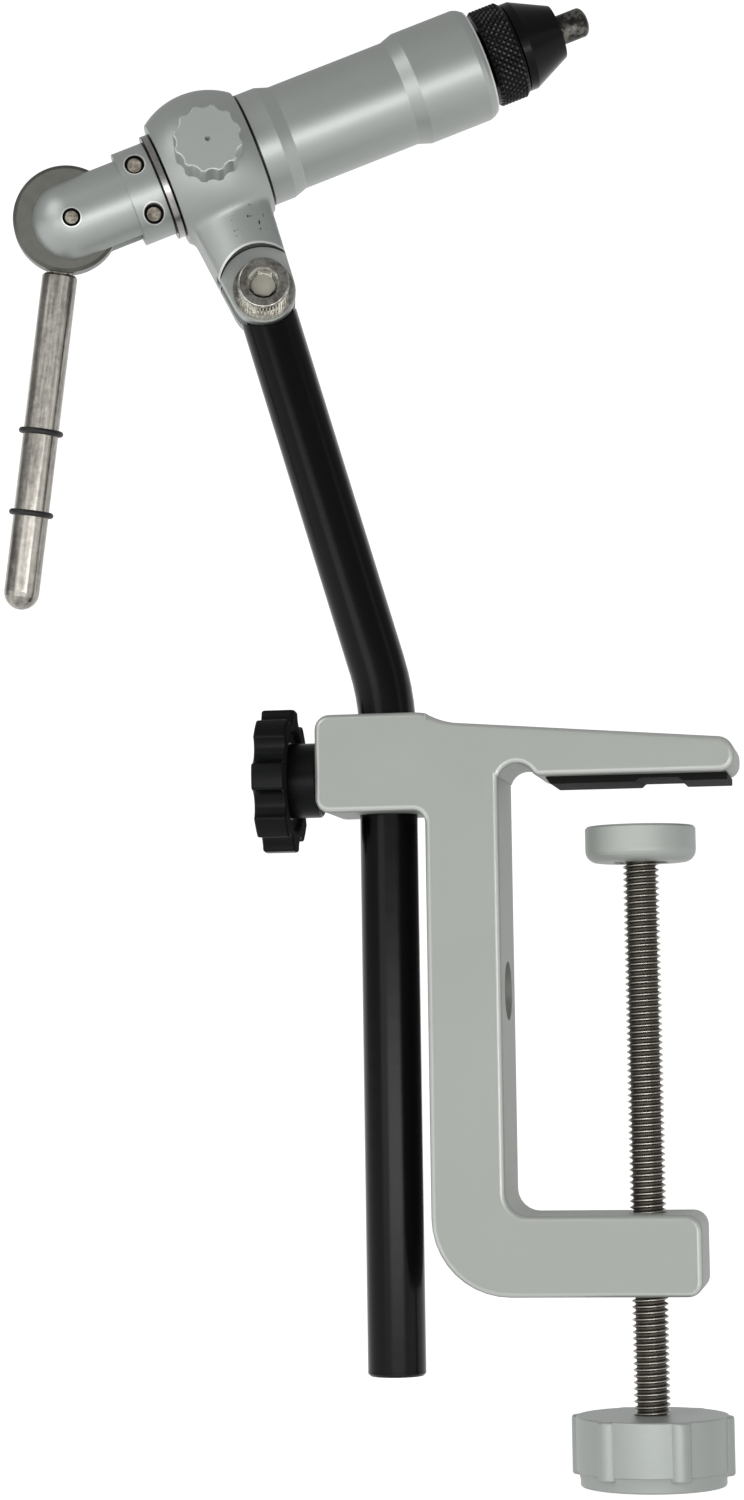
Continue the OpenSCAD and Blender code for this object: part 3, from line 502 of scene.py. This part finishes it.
worn = Finish("worn_stainless")
crest = worn.from_line((screw_x, 0, 0), (0, 0, 1)).between(root_r + 0.1 * mm, screw_r - 0.05 * mm)
dirt = worn.speckle(2.2 * mm, 5.0, 0.7)
worn.set(
    Base_Color=worn.blend(crest * 0.8 + dirt * 0.3, (0.04, 0.034, 0.026, 1), (0.38, 0.36, 0.32, 1)),
    Metallic=0.95,
    Roughness=0.48 - crest * 0.2 + dirt * 0.1)
worn.on(screw)
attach(screw, "screw")
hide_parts("clamp_screw")

# Clamp knob
# A turned aluminium knob with six rounded ribs over a narrower foot, with the same
# grey sheen as the frame. A black grub screw at its back locks it on the screw.
knob_r, knob_top, knob_low = 12.35 * mm, -101.6 * mm, -112.8 * mm
foot_h, foot_r, foot_top_r = 2.3 * mm, 11.75 * mm, 12.1 * mm
rib_count, first_rib, rib_r, rib_reach = 6, 56.1, 1.9 * mm, 11.28 * mm
rib_sink, rib_gap = 0.6 * mm, 0.03 * mm
rib_low, rib_top = knob_low + foot_h - rib_sink, knob_top - rib_gap
knob_round, rib_round, foot_round, foot_sink = 0.3 * mm, 0.45 * mm, 0.35 * mm, 0.2 * mm
grub_drop, grub_start, grub_r = 4.45 * mm, 2 * mm, 2.0 * mm
knob = round_bar("knob_drum", (screw_x, 0, knob_low + foot_h), (0, 0, 1),
                 knob_top - knob_low - foot_h, knob_r, 96)
rounded(knob, sharp(60), knob_round)
rib = round_bar("knob_rib", (screw_x + rib_reach, 0, rib_low), (0, 0, 1),
                rib_top - rib_low, rib_r, 32)
rounded(rib, sharp(60), rib_round)
knob_axis = Matrix.Translation((screw_x, 0, 0))
for i in range(rib_count):
    other = rib.copy()
    other.data = rib.data.copy()
    bpy.context.scene.collection.objects.link(other)
    turn = math.radians(first_rib + 360 / rib_count * i)
    other.data.transform(knob_axis @ Matrix.Rotation(turn, 4, "Z") @ knob_axis.inverted())
    cut(knob, other, keep="UNION")
bpy.data.objects.remove(rib)
foot = round_bar("knob_foot", (screw_x, 0, knob_low), (0, 0, 1), foot_h / 2, foot_r, 96)
pick(foot, "faces", facing((0, 0, 1)))
pull((0, 0, 1), foot_h / 2 + foot_sink)
bpy.ops.transform.resize(value=(foot_top_r / foot_r, foot_top_r / foot_r, 1),
                         center_override=(screw_x, 0, knob_low))
rounded(foot, sharp(60), foot_round)
cut(knob, foot, keep="UNION")
cut(knob, round_bar("grub_bore", (screw_x, grub_start, knob_top - grub_drop), (0, 1, 0),
                    2 * past, grub_r, 40))
smooth(knob, 30)

spun = Finish("spun_knob")
spun_grain = spun.speckle(0.25 * mm, 3.0, 0.6)
spun.set(
    Base_Color=spun.blend(spun_grain, (0.40, 0.43, 0.41, 1), (0.48, 0.51, 0.49, 1)),
    Metallic=0.45,
    Roughness=0.42 + spun_grain * 0.1,
    Normal=spun.relief(spun_grain, 0.008 * mm))
spun.on(knob)
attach(knob, "screw")
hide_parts("clamp_knob")

blackened = Finish("black_oxide")
bloom = blackened.speckle(0.6 * mm, 4.0, 0.6)
blackened.set(
    Base_Color=blackened.blend(bloom, (0.002, 0.002, 0.0025, 1), (0.006, 0.006, 0.007, 1)),
    Specular_IOR_Level=0.16,
    Metallic=0.2,
    Roughness=0.18 + bloom * 0.12)
blackened.on(nodes["knob_grub_screw"])

# Stem lock
# A moulded black star knob with eight lobes and a plain hub, on a steel stud that
# pushes a brass shoe against the stem.
rim_x, rim_h, star_r, hub_x, hub_r = -53.36 * mm, 5.4 * mm, 11.9 * mm, -43.56 * mm, 6.2 * mm
lobes, valley_r, valley_depth = 8, 2.64 * mm, 1.83 * mm
dish_depth, dish_r, hollow_depth, hollow_r = 0.6 * mm, 5.95 * mm, 0.9 * mm, 8.4 * mm
hub_start, stud_start, stud_r = rim_x + 2 * mm, rim_x + 2.7 * mm, 3.02 * mm
star_round, hub_round = 0.45 * mm, 0.5 * mm
star = round_bar("star_rim", (rim_x, 0, lock_z), (1, 0, 0), rim_h, star_r, 160)


def all_round(count, build):
    """As many cutters as that round an axis, each built at its angle, as one."""
    return joined(*[build(math.radians(360 / count * (i + 0.5))) for i in range(count)])


def valley(turn):
    """A cutter for the hollow between two lobes."""
    away = star_r + valley_r - valley_depth
    start = (rim_x - past, away * math.cos(turn), lock_z + away * math.sin(turn))
    return round_bar("valley", start, (1, 0, 0), rim_h + 2 * past, valley_r, 48)


cut(star, all_round(lobes, valley),
    round_bar("dish", (rim_x - past, 0, lock_z), (1, 0, 0), past + dish_depth, dish_r, 64),
    round_bar("hollow", (rim_x + rim_h - hollow_depth, 0, lock_z), (1, 0, 0), past, hollow_r, 64))
rounded(star, sharp(50), star_round)
hub = round_bar("star_hub", (hub_start, 0, lock_z), (1, 0, 0), hub_x - hub_start, hub_r, 72)
rounded(hub, sharp(60), hub_round)
cut(star, hub, keep="UNION")
cut(star, round_bar("stud_bore", (stud_start, 0, lock_z), (1, 0, 0), 2 * past, stud_r, 40))
smooth(star, 30)

moulded = Finish("moulded_black")
pebble = moulded.speckle(0.4 * mm, 3.0)
off_stud = moulded.from_line((0, 0, lock_z), (1, 0, 0))
past_rim = moulded.along((0, 0, 0), (1, 0, 0)).between(-48.2 * mm, -48.1 * mm)
inner_face = (moulded.either(past_rim, off_stud.between(10.0 * mm, 9.8 * mm))
              * off_stud.between(6.35 * mm, 6.5 * mm))
moulded.set(
    Base_Color=moulded.blend(pebble, (0.0025, 0.0028, 0.0028, 1), (0.005, 0.0054, 0.0054, 1)),
    Specular_IOR_Level=0.13,
    Roughness=0.28 + pebble * 0.12 + inner_face * 0.6,
    Normal=moulded.relief(pebble, 0.012 * mm))
moulded.on(star)
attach(star, "lock")
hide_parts("lock_knob")
bright.on(nodes["lock_stud"])

brass = Finish("bearing_bronze")
tarnish = brass.speckle(1.5 * mm, 4.0)
brass.set(
    Base_Color=brass.blend(tarnish, (0.42, 0.29, 0.11, 1), (0.60, 0.44, 0.20, 1)),
    Metallic=1.0,
    Roughness=0.3 + tarnish * 0.2)
brass.on(nodes["lock_shoe"], nodes["rear_bush"], nodes["front_bush"], nodes["drag_shoe"])

# Stem
# A steel tube bent once, stove enamelled a deep gloss black, with a flat tongue
# milled at its top and a plug in its foot.
enamel = Finish("gloss_black")
ripple = enamel.speckle(3.5 * mm, 2.0)
dust = enamel.speckle(0.3 * mm, 4.0, 0.7)
enamel.set(
    Base_Color=(0.001, 0.001, 0.0014, 1),
    Specular_IOR_Level=0.17,
    Roughness=0.18 + dust * 0.07,
    Normal=enamel.relief(ripple, 0.02 * mm))
enamel.on(nodes["stem"], nodes["stem_plug"])

# Head housing
# One aluminium casting: a ball, cut flat on both sides, that runs with a soft fillet
# into a fork for the stem. The bore, slot and seats are machined into it.

# The stem is swung and bent, the head tilted up on it and the barrel rolled in the head.
swing, rise, roll = math.radians(11), math.radians(21.5), math.radians(7)
bend, bend_start, bend_r, stem_reach = math.radians(16.3), 9.8 * mm, 40 * mm, 70.3 * mm
bend_corner = bend_start + bend_r * math.tan(bend / 2)
pivot_in_stem = Vector((-stem_reach * math.sin(bend), 0, bend_corner + stem_reach * math.cos(bend)))
ball_u, pivot_drop = 24.85 * mm, 23.9 * mm
in_head = (Matrix.Translation((stem_x, 0, 0)) @ Matrix.Rotation(swing, 4, "Z")
           @ Matrix.Translation(pivot_in_stem) @ Matrix.Rotation(-rise, 4, "Y")
           @ Matrix.Translation((-ball_u, 0, pivot_drop)))
in_barrel = in_head @ Matrix.Rotation(roll, 4, "X")


def settle(piece, where):
    """Puts a piece made on the bench where it belongs, with its object at the origin."""
    take(piece)
    piece.data.transform(where)
    piece.data.update()
    put_down()


ball_r, house_u0, house_u1, bush_seat = 13.0 * mm, 17.2 * mm, 32.5 * mm, 7.4 * mm
lug_r, lug_t, lug_top, lug_flare, neck_r = 5.4 * mm, 12.0 * mm, -9.1 * mm, 1.28, 8.71 * mm
drag_flat_y, drag_flat_r, drag_bore_r = -12.1 * mm, 6.0 * mm, 2.45 * mm
seat_r, bolt_bore_r, slot_half, slot_top = 7.45 * mm, 2.52 * mm, 2.55 * mm, -17.96 * mm
voxel, smoothings = 0.3 * mm, 45
put_down()
bpy.ops.mesh.primitive_uv_sphere_add(segments=96, ring_count=64, radius=ball_r,
                                     location=(ball_u, 0, 0))
housing = bpy.context.object
housing.name = housing.data.name = "ball_housing"
bpy.ops.object.transform_apply(location=True, rotation=True, scale=True)
lug = block("lug", (ball_u - lug_r, -ball_r, -pivot_drop), (ball_u + lug_r, ball_r, lug_top))
pick(lug, "verts", lambda v: v.co.z > lug_top - hair)
bpy.ops.transform.resize(value=(lug_flare, 1, 1), center_override=(ball_u, 0, lug_top))
cut(lug, round_bar("lug_end", (ball_u, -through / 2, -pivot_drop), (0, 1, 0), through, lug_r, 96),
    keep="UNION")
cut(lug, round_bar("lug_neck", (ball_u, 0, -through), (0, 0, 1), through, neck_r, 96),
    keep="INTERSECT")
housing = joined(housing, lug)
apply(housing, "REMESH", mode="VOXEL", voxel_size=voxel)
apply(housing, "SMOOTH", factor=0.5, iterations=smoothings)
cut(housing, block("slab", (house_u0, -3 * past, -through), (house_u1, 3 * past, 3 * past)),
    keep="INTERSECT")
cut(housing,
    round_bar("bearing_bore", (house_u0 - past, 0, 0), (1, 0, 0), through, bush_seat, 96),
    round_bar("drag_flat", (ball_u, drag_flat_y, 0), (0, -1, 0), past, drag_flat_r, 64),
    round_bar("drag_bore", (ball_u, 0, 0), (0, -1, 0), 2 * past, drag_bore_r, 40),
    round_bar("front_seat", (ball_u, -lug_t / 2, -pivot_drop), (0, -1, 0), 2 * past, seat_r, 96),
    round_bar("back_seat", (ball_u, lug_t / 2, -pivot_drop), (0, 1, 0), 2 * past, seat_r, 96),
    round_bar("bolt_bore", (ball_u, -through / 2, -pivot_drop), (0, 1, 0),
              through, bolt_bore_r, 48),
    block("slot", (ball_u - ball_r, -slot_half, -through - past),
          (ball_u + ball_r, slot_half, slot_top)))
settle(housing, in_head)
smooth(housing, 40)

cast = Finish("cast_aluminium")
pits_place = in_head @ Vector((ball_u + 2.2 * mm, -8.5 * mm, -13.2 * mm))
from_pits = cast.node("VectorMath", {"operation": "DISTANCE"},
                      {0: cast.place(), 1: pits_place}, "Value")
pitting = cast.speckle(0.75 * mm, 1.0).between(0.66, 0.70) * from_pits.between(4.8 * mm, 1.5 * mm)
grit = cast.speckle(0.25 * mm, 3.0, 0.6)
cast_cloud = cast.speckle(9 * mm, 2.0)
bolt_centre, bolt_way = Vector((ball_u, 0, -pivot_drop)), in_head.to_3x3() @ Vector((0, 1, 0))
from_bolt = cast.from_line(in_head @ bolt_centre, bolt_way)
# Painted highlight: a bright ring just outside the rim of the bolt's seat. Painted shade: a dark
# ring in the seat's corner, just inside the rim.
painted_seat_highlight = from_bolt.band(7.455 * mm, 7.475 * mm, 7.75 * mm, 7.95 * mm)
painted_seat_shade = from_bolt.band(7.25 * mm, 7.35 * mm, 7.455 * mm, 7.46 * mm)
cast_tone = cast.blend(cast_cloud * 0.5 + grit * 0.5,
                       (0.365, 0.39, 0.37, 1), (0.445, 0.47, 0.45, 1))
seat_highlit_tone = cast.blend(painted_seat_highlight, cast_tone, (0.74, 0.76, 0.74, 1))
cast.set(
    Base_Color=cast.blend(cast.either(pitting, painted_seat_shade), seat_highlit_tone, (0.03, 0.03, 0.03, 1)),
    Metallic=0.58,
    Roughness=0.38 + grit * 0.1,
    Normal=cast.relief(grit * 0.1 - pitting, 0.06 * mm))
cast.on(housing)
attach(housing, "head")
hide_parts("head_housing")

# Pivot bolt
# A polished socket head screw with a fine knurl round its head, between washers,
# with a nut at the back.
bolt_y, bolt_head_h, bolt_head_r, bolt_sides = -7.0 * mm, 5.0 * mm, 4.25 * mm, 144
bolt_face, above, flute_shrink = bolt_y - bolt_head_h, 1 * mm, 0.965
key_r, key_depth, cone_r, cone_depth, cone_flare = 2.309 * mm, 2.5 * mm, 2.2 * mm, 0.4 * mm, 1.65
shank_r, shank_start, shank_end = 2.5 * mm, bolt_y - 0.5 * mm, 12 * mm
head_round, shank_round, skin = 0.42 * mm, 0.4 * mm, 0.01 * mm
bolt = round_bar("pivot_screw", (ball_u, bolt_y, -pivot_drop), (0, -1, 0), bolt_head_h, bolt_head_r,
                 bolt_sides)
rounded(bolt, sharp(60, lambda e: middle(e).y < bolt_face + hair), head_round)


def flute(vert):
    """A test for every third line of points along the head's side."""
    arm = vert.co - bolt_centre
    side = round(math.degrees(math.atan2(arm.z, arm.x)) / (360 / bolt_sides))
    return side % 3 == 0 and math.hypot(arm.x, arm.z) > bolt_head_r - skin


pick(bolt, "verts", flute)
bpy.ops.transform.resize(value=(flute_shrink, 1, flute_shrink), center_override=bolt_centre)
cut(bolt, round_bar("hex_socket", (ball_u, bolt_face - above, -pivot_drop), (0, 1, 0),
                    above + key_depth, key_r, 6))
cone = round_bar("socket_mouth", (ball_u, bolt_face - above, -pivot_drop), (0, 1, 0),
                 above + cone_depth, cone_r, 48)
pick(cone, "verts", lambda v: v.co.y < bolt_face - above / 2)
bpy.ops.transform.resize(value=(cone_flare, 1, cone_flare), center_override=bolt_centre)
cut(bolt, cone)
shank = round_bar("shank", (ball_u, shank_start, -pivot_drop), (0, 1, 0), shank_end - shank_start,
                  shank_r, 48)
rounded(shank, sharp(60, lambda e: middle(e).y > 0), shank_round, 2)
cut(bolt, shank, keep="UNION")
settle(bolt, in_head)
smooth(bolt, 30)

polished = Finish("polished_bolt")
smear = polished.speckle(1.1 * mm, 5.0, 0.7)
socket_floor = polished.from_line(in_head @ bolt_centre, bolt_way).between(2.0 * mm, 1.85 * mm)
face_tone = polished.blend(smear.between(0.3, 0.7), (0.17, 0.16, 0.14, 1), (0.44, 0.43, 0.39, 1))
polished.set(
    Base_Color=polished.blend(socket_floor, face_tone, (0.50, 0.48, 0.41, 1)),
    Metallic=1.0 - socket_floor * 0.5,
    Roughness=0.08 + smear * 0.12 + socket_floor * 0.35,
    Normal=polished.relief(smear, 0.02 * mm))
polished.on(bolt, nodes["pivot_washers"], nodes["pivot_nut"])
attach(bolt, "head")
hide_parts("pivot_bolt")

# Drag knob
# A small aluminium knob with twelve shallow scallops, turned slightly hollow at its
# centre, on a steel screw with a bronze shoe.
drag_face, drag_base, drag_r, dimple_r = -19.14 * mm, -12.4 * mm, 5.7 * mm, 0.8 * mm
notches, notch_r, notch_depth = 12, 1.63 * mm, 0.475 * mm
dimple_rise, drag_round = 0.6 * mm, 0.3 * mm
drag = round_bar("drag_wheel", (ball_u, drag_base, 0), (0, -1, 0),
                 drag_base - drag_face, drag_r, 144)


def notch(turn):
    """A cutter for one scallop in the rim."""
    away = drag_r + notch_r - notch_depth
    start = (ball_u + away * math.cos(turn), drag_face - past, away * math.sin(turn))
    return round_bar("notch", start, (0, 1, 0), drag_base - drag_face + 2 * past, notch_r, 32)


cut(drag, all_round(notches, notch))
rounded(drag, sharp(60), drag_round)
bpy.ops.mesh.primitive_uv_sphere_add(segments=32, ring_count=16, radius=dimple_r,
                                     location=(ball_u, drag_face - dimple_rise, 0))
dimple = bpy.context.object
bpy.ops.object.transform_apply(location=True, rotation=True, scale=True)
cut(drag, dimple)
settle(drag, in_head)
smooth(drag, 30)

satin = Finish("satin_aluminium")
turning = satin.speckle(0.25 * mm, 3.0, 0.6)
satin_cloud = satin.speckle(9 * mm, 2.0)
off_centre = satin.from_line(in_head @ Vector((ball_u, 0, 0)), bolt_way)
# Painted shade: the small hollow at the knob's centre is painted dark.
painted_dimple_shade = off_centre.between(0.55 * mm, 0.35 * mm)
turned = satin.blend(satin_cloud * 0.5 + turning * 0.5,
                     (0.43, 0.46, 0.435, 1), (0.50, 0.53, 0.505, 1))
satin.set(
    Base_Color=satin.blend(painted_dimple_shade, turned, (0.16, 0.17, 0.16, 1)),
    Metallic=0.8,
    Roughness=0.38 + turning * 0.1,
    Normal=satin.relief(turning, 0.006 * mm))
satin.on(drag)
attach(drag, "drag")
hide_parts("drag_knob")
bright.on(nodes["drag_screw"])

# Barrel
# A waisted aluminium sleeve turned from bar and anodised, on a steel spindle with a
# hardened ring behind the ball. The spring inside is given a mesh of its own.
sleeve_finish = Finish("anodised_sleeve")
axis_way = in_head.to_3x3() @ Vector((1, 0, 0))
down_axis = sleeve_finish.along(in_head.to_translation(), axis_way)
lathe = sleeve_finish.node("TexNoise", {"noise_dimensions": "1D"},
                           {"W": down_axis, "Scale": 6000.0, "Detail": 3.0})
haze = sleeve_finish.speckle(8 * mm, 2.0)
# Painted shade: near-black bands at the yoke's front end and at the sleeve's back end, for the gaps
# beside the washer and the housing.
painted_gap_shade = down_axis.band(15.48 * mm, 15.56 * mm, 32.98 * mm, 33.08 * mm)
body = sleeve_finish.blend(haze * 0.5 + lathe * 0.5,
                           (0.375, 0.40, 0.38, 1), (0.45, 0.475, 0.455, 1))
pin_way = in_barrel.to_3x3() @ Vector((0, 1, 0))
pin_u, pin_w = 12.96 * mm, 4.315 * mm
pin_places = [in_barrel @ Vector((pin_u, 0, w)) for w in (pin_w, -pin_w)]


def from_pins(finish):
    """How far a place is from the nearest pin's middle; the cam's pin is a tenth slimmer."""
    return finish.least(finish.from_line(in_barrel.to_translation(), pin_way) * 1.1,
                        *[finish.from_line(pin, pin_way) for pin in pin_places])


# Painted highlight: a bright line on the sleeve's front chamfer and a bright ring round each pin
# hole in the yoke.
painted_edge_glint = sleeve_finish.either(down_axis.between(73.50 * mm, 73.58 * mm),
                                   from_pins(sleeve_finish).between(1.95 * mm, 1.75 * mm))
painted_glint_tone = sleeve_finish.blend(painted_edge_glint, body, (0.75, 0.76, 0.74, 1))
sleeve_finish.set(
    Base_Color=sleeve_finish.blend(painted_gap_shade, painted_glint_tone, (0.004, 0.004, 0.004, 1)),
    Metallic=0.58,
    Roughness=0.34 + lathe * 0.1,
    Normal=sleeve_finish.relief(lathe, 0.003 * mm))
sleeve_finish.on(nodes["barrel_sleeve"], nodes["cam_yoke"])

hardened = Finish("hardened_ring")
mark = hardened.speckle(1.0 * mm, 5.0, 0.7)
from_ball = hardened.along(in_head.to_translation(), axis_way)
# Painted shade: this finish is painted near-black everywhere along the axis except the middle of
# the thrust washer, which leaves dark lines at the washer's edges for the gaps beside it.
painted_washer_shade = 1 - from_ball.band(15.80 * mm, 15.90 * mm, 16.78 * mm, 16.88 * mm)
steel_tone = hardened.blend(mark, (0.20, 0.195, 0.185, 1), (0.50, 0.49, 0.47, 1))
hardened.set(
    Base_Color=hardened.blend(painted_washer_shade, steel_tone, (0.004, 0.004, 0.004, 1)),
    Metallic=1.0,
    Roughness=0.18 + mark * 0.14)
hardened.on(nodes["thrust_washer"], nodes["spindle"], nodes["draw_bar"],
            nodes["return_spring"], nodes["ring_clip"])
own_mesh(nodes["return_spring"])

# Yoke pins
# Two steel cross pins and the pin of the cam, faced off flush in the yoke, with
# painted shade in a near-black ring round the edge of each pin's end.
pin_steel = Finish("pin_steel")
pits = pin_steel.speckle(0.9 * mm, 6.0, 0.75)
# Painted shade: the outer edge of each pin end is painted near-black.
painted_pin_ring_shade = from_pins(pin_steel).between(1.10 * mm, 1.22 * mm)
pin_end = pin_steel.blend(pits.between(0.35, 0.65), (0.10, 0.085, 0.065, 1), (0.34, 0.315, 0.27, 1))
pin_steel.set(
    Base_Color=pin_steel.blend(painted_pin_ring_shade, pin_end, (0.005, 0.005, 0.005, 1)),
    Metallic=1.0,
    Roughness=0.30 + pits * 0.2,
    Normal=pin_steel.relief(pits * (1 - painted_pin_ring_shade), 0.06 * mm))
pin_steel.on(nodes["yoke_pins"], nodes["cam_pivot_pin"])

# Cam and lever
# A steel disc turned off centre, with a worn stainless lever screwed into its edge
# and two rubber rings on the lever to keep thread and fingers from slipping.
dull = Finish("dull_steel")
rub = dull.speckle(1.8 * mm, 5.0, 0.7)
dull.set(
    Base_Color=dull.blend(rub, (0.10, 0.10, 0.088, 1), (0.165, 0.165, 0.15, 1)),
    Metallic=0.9,
    Roughness=0.34 + rub * 0.16,
    Normal=dull.relief(rub, 0.01 * mm))
dull.on(nodes["cam_disc"])

lever_finish = Finish("lever_steel")
lever_turn, drawn_out = math.radians(209), 0.93
lever_way = in_barrel.to_3x3() @ Vector((math.sin(lever_turn), 0, math.cos(lever_turn)))
down = lever_finish.along((0, 0, 0), lever_way)
shift = lever_finish.node("VectorMath", {"operation": "SCALE"},
                          {0: lever_way, "Scale": down * drawn_out})
pulled = lever_finish.node("VectorMath", {"operation": "SUBTRACT"},
                           {0: lever_finish.place(), 1: shift})
streak = lever_finish.speckle(mm / 0.9, 4.0, 0.65, pulled)
wear = lever_finish.speckle(1.6 * mm, 6.0, 0.75)
scratched = (streak * 0.6 + wear * 0.4).between(0.3, 0.7)
lever_finish.set(
    Base_Color=lever_finish.blend(scratched, (0.15, 0.14, 0.125, 1), (0.46, 0.44, 0.40, 1)),
    Metallic=1.0,
    Roughness=0.14 + wear * 0.2,
    Normal=lever_finish.relief(streak, 0.02 * mm))
lever_finish.on(nodes["lever_rod"])

ring_rubber = Finish("ring_rubber")
ring_rubber.set(
    Base_Color=(0.006, 0.006, 0.006, 1),
    Roughness=0.45 + ring_rubber.speckle(0.5 * mm) * 0.15)
ring_rubber.on(nodes["lever_o_rings"])

# Nose
# The adjusting ring and the nose are black oxide steel, with crests on the knurl painted bright
# in patches, partly as wear and partly as a painted glint; the collet's stub is dark tool steel
# worn bright at its end.
knurled = Finish("knurled_black")
off_axis = knurled.from_line(in_head.to_translation(), axis_way)
wear_patch = knurled.speckle(1.4 * mm, 3.0).between(0.3, 0.6)
# Wear and painted glint: the crests of the knurl are painted brighter in random patches.
worn_and_glinting_crest = off_axis.between(8.18 * mm, 8.36 * mm) * wear_patch
knurled.set(
    Base_Color=knurled.blend(worn_and_glinting_crest * 0.55, (0.003, 0.003, 0.0035, 1), (0.24, 0.24, 0.25, 1)),
    Specular_IOR_Level=0.3,
    Metallic=0.6,
    Roughness=0.30 - worn_and_glinting_crest * 0.12)
knurled.on(nodes["adjusting_ring"])
blackened.on(nodes["nose_cone"])

tool = Finish("tool_steel")
patch = tool.speckle(1.3 * mm, 5.0, 0.7)
tool.set(
    Base_Color=tool.blend(patch.between(0.42, 0.68),
                          (0.022, 0.020, 0.018, 1), (0.19, 0.18, 0.165, 1)),
    Metallic=0.9,
    Roughness=0.3 + patch * 0.2)
tool.on(nodes["collet"])

# Studio
# A wide pale floor that clears the clamp knob at its lowest, with a white wall at the
# back, and four soft lamps: low in front, high left, low left and a faint one right.
knob_travel, clear = 56 * mm, 1.5 * mm
floor_z, floor_reach, wall_y, wall_height = cad_box[0][2] - knob_travel - clear, 12, 4, 2.6
put_down()
bpy.ops.mesh.primitive_plane_add(size=2 * floor_reach, location=(0, 0, floor_z))
floor = bpy.context.object
floor.name = "studio_floor"
bpy.ops.object.transform_apply(location=True, rotation=True, scale=True)
pick(floor, "edges", lambda e: middle(e).y > wall_y)
bpy.ops.transform.translate(value=(0, wall_y - floor_reach, 0))
pull((0, 0, 1), wall_height)
put_down()
pale = Finish("pale_floor")
seen = sum(pale.node("LightPath", {}, {}, "Is " + ray + " Ray")
           for ray in ("Camera", "Glossy", "Transmission"))
# Painted light: the floor and wall glow for camera, glossy and transmission rays, dimmer near the
# object and brighter far from it.
far = pale.from_line((0, 0, 0), (0, 0, 1)).between(0.1, 0.6)
painted_backdrop_glow = pale.blend(far, (0.66, 0.66, 0.66, 1), (0.95, 0.95, 0.95, 1))
pale.set(Base_Color=(0.45, 0.45, 0.45, 1), Roughness=0.9, Emission_Strength=1.0,
         Emission_Color=pale.blend(seen, (0, 0, 0, 1), painted_backdrop_glow))
pale.on(floor)

world = bpy.data.worlds.new("studio")
bpy.context.scene.world = world
world.use_nodes = True
sky = world.node_tree.nodes["Background"]
sky.inputs["Color"].default_value = (1, 1, 1, 1)
sky.inputs["Strength"].default_value = 0.40


def lamp(name, place, aim, size, watts):
    """A soft box of light that hangs at a place and faces another."""
    light = bpy.data.lights.new(name, "AREA")
    light.shape = "RECTANGLE"
    light.size, light.size_y = size
    light.energy = watts
    holder = bpy.data.objects.new(name, light)
    bpy.context.scene.collection.objects.link(holder)
    way = Vector(aim) - Vector(place)
    facing_way = way.to_track_quat("-Z", "Y").to_matrix().to_4x4()
    holder.matrix_world = Matrix.Translation(place) @ facing_way


lamp("low_front", (0.1, -0.5, -0.07), (-0.03, 0, 0.09), (0.5, 0.09), 0.76)
lamp("high_left", (-0.6, -0.7, 0.5), (-0.02, 0, 0.02), (0.6, 0.6), 2.2)
lamp("right", (0.8, -0.3, 0.15), (-0.02, 0, 0.02), (0.2, 0.6), 0.2)
lamp("low_left", (-0.3, -0.6, -0.01), (0, 0, -0.07), (0.3, 0.2), 0.28)

# The camera was fitted to the photograph: to the right of the front, a little below.
turn, lift, lean = math.radians(9.118), math.radians(-4.994), math.radians(0.834)
camera_place, focal_length, picture_height = Vector((53.415, -551.743, -41.843)) * mm, 3385, 1500
view = bpy.data.cameras.new("photo_view")
back = Vector((math.sin(turn) * math.cos(lift), -math.cos(turn) * math.cos(lift), math.sin(lift)))
right = Vector((math.cos(turn), math.sin(turn), 0))
up = back.cross(right)
right, up = (right * math.cos(lean) - up * math.sin(lean),
             right * math.sin(lean) + up * math.cos(lean))
stand = bpy.data.objects.new("photo_view", view)
bpy.context.scene.collection.objects.link(stand)
stand.matrix_world = Matrix((right, up, back)).transposed().to_4x4()
stand.matrix_world.translation = camera_place
view.sensor_width = 36
view.lens = focal_length / picture_height * view.sensor_width
view.clip_start = 0.01
bpy.context.scene.camera = stand
bpy.context.scene.view_settings.view_transform = "Standard"
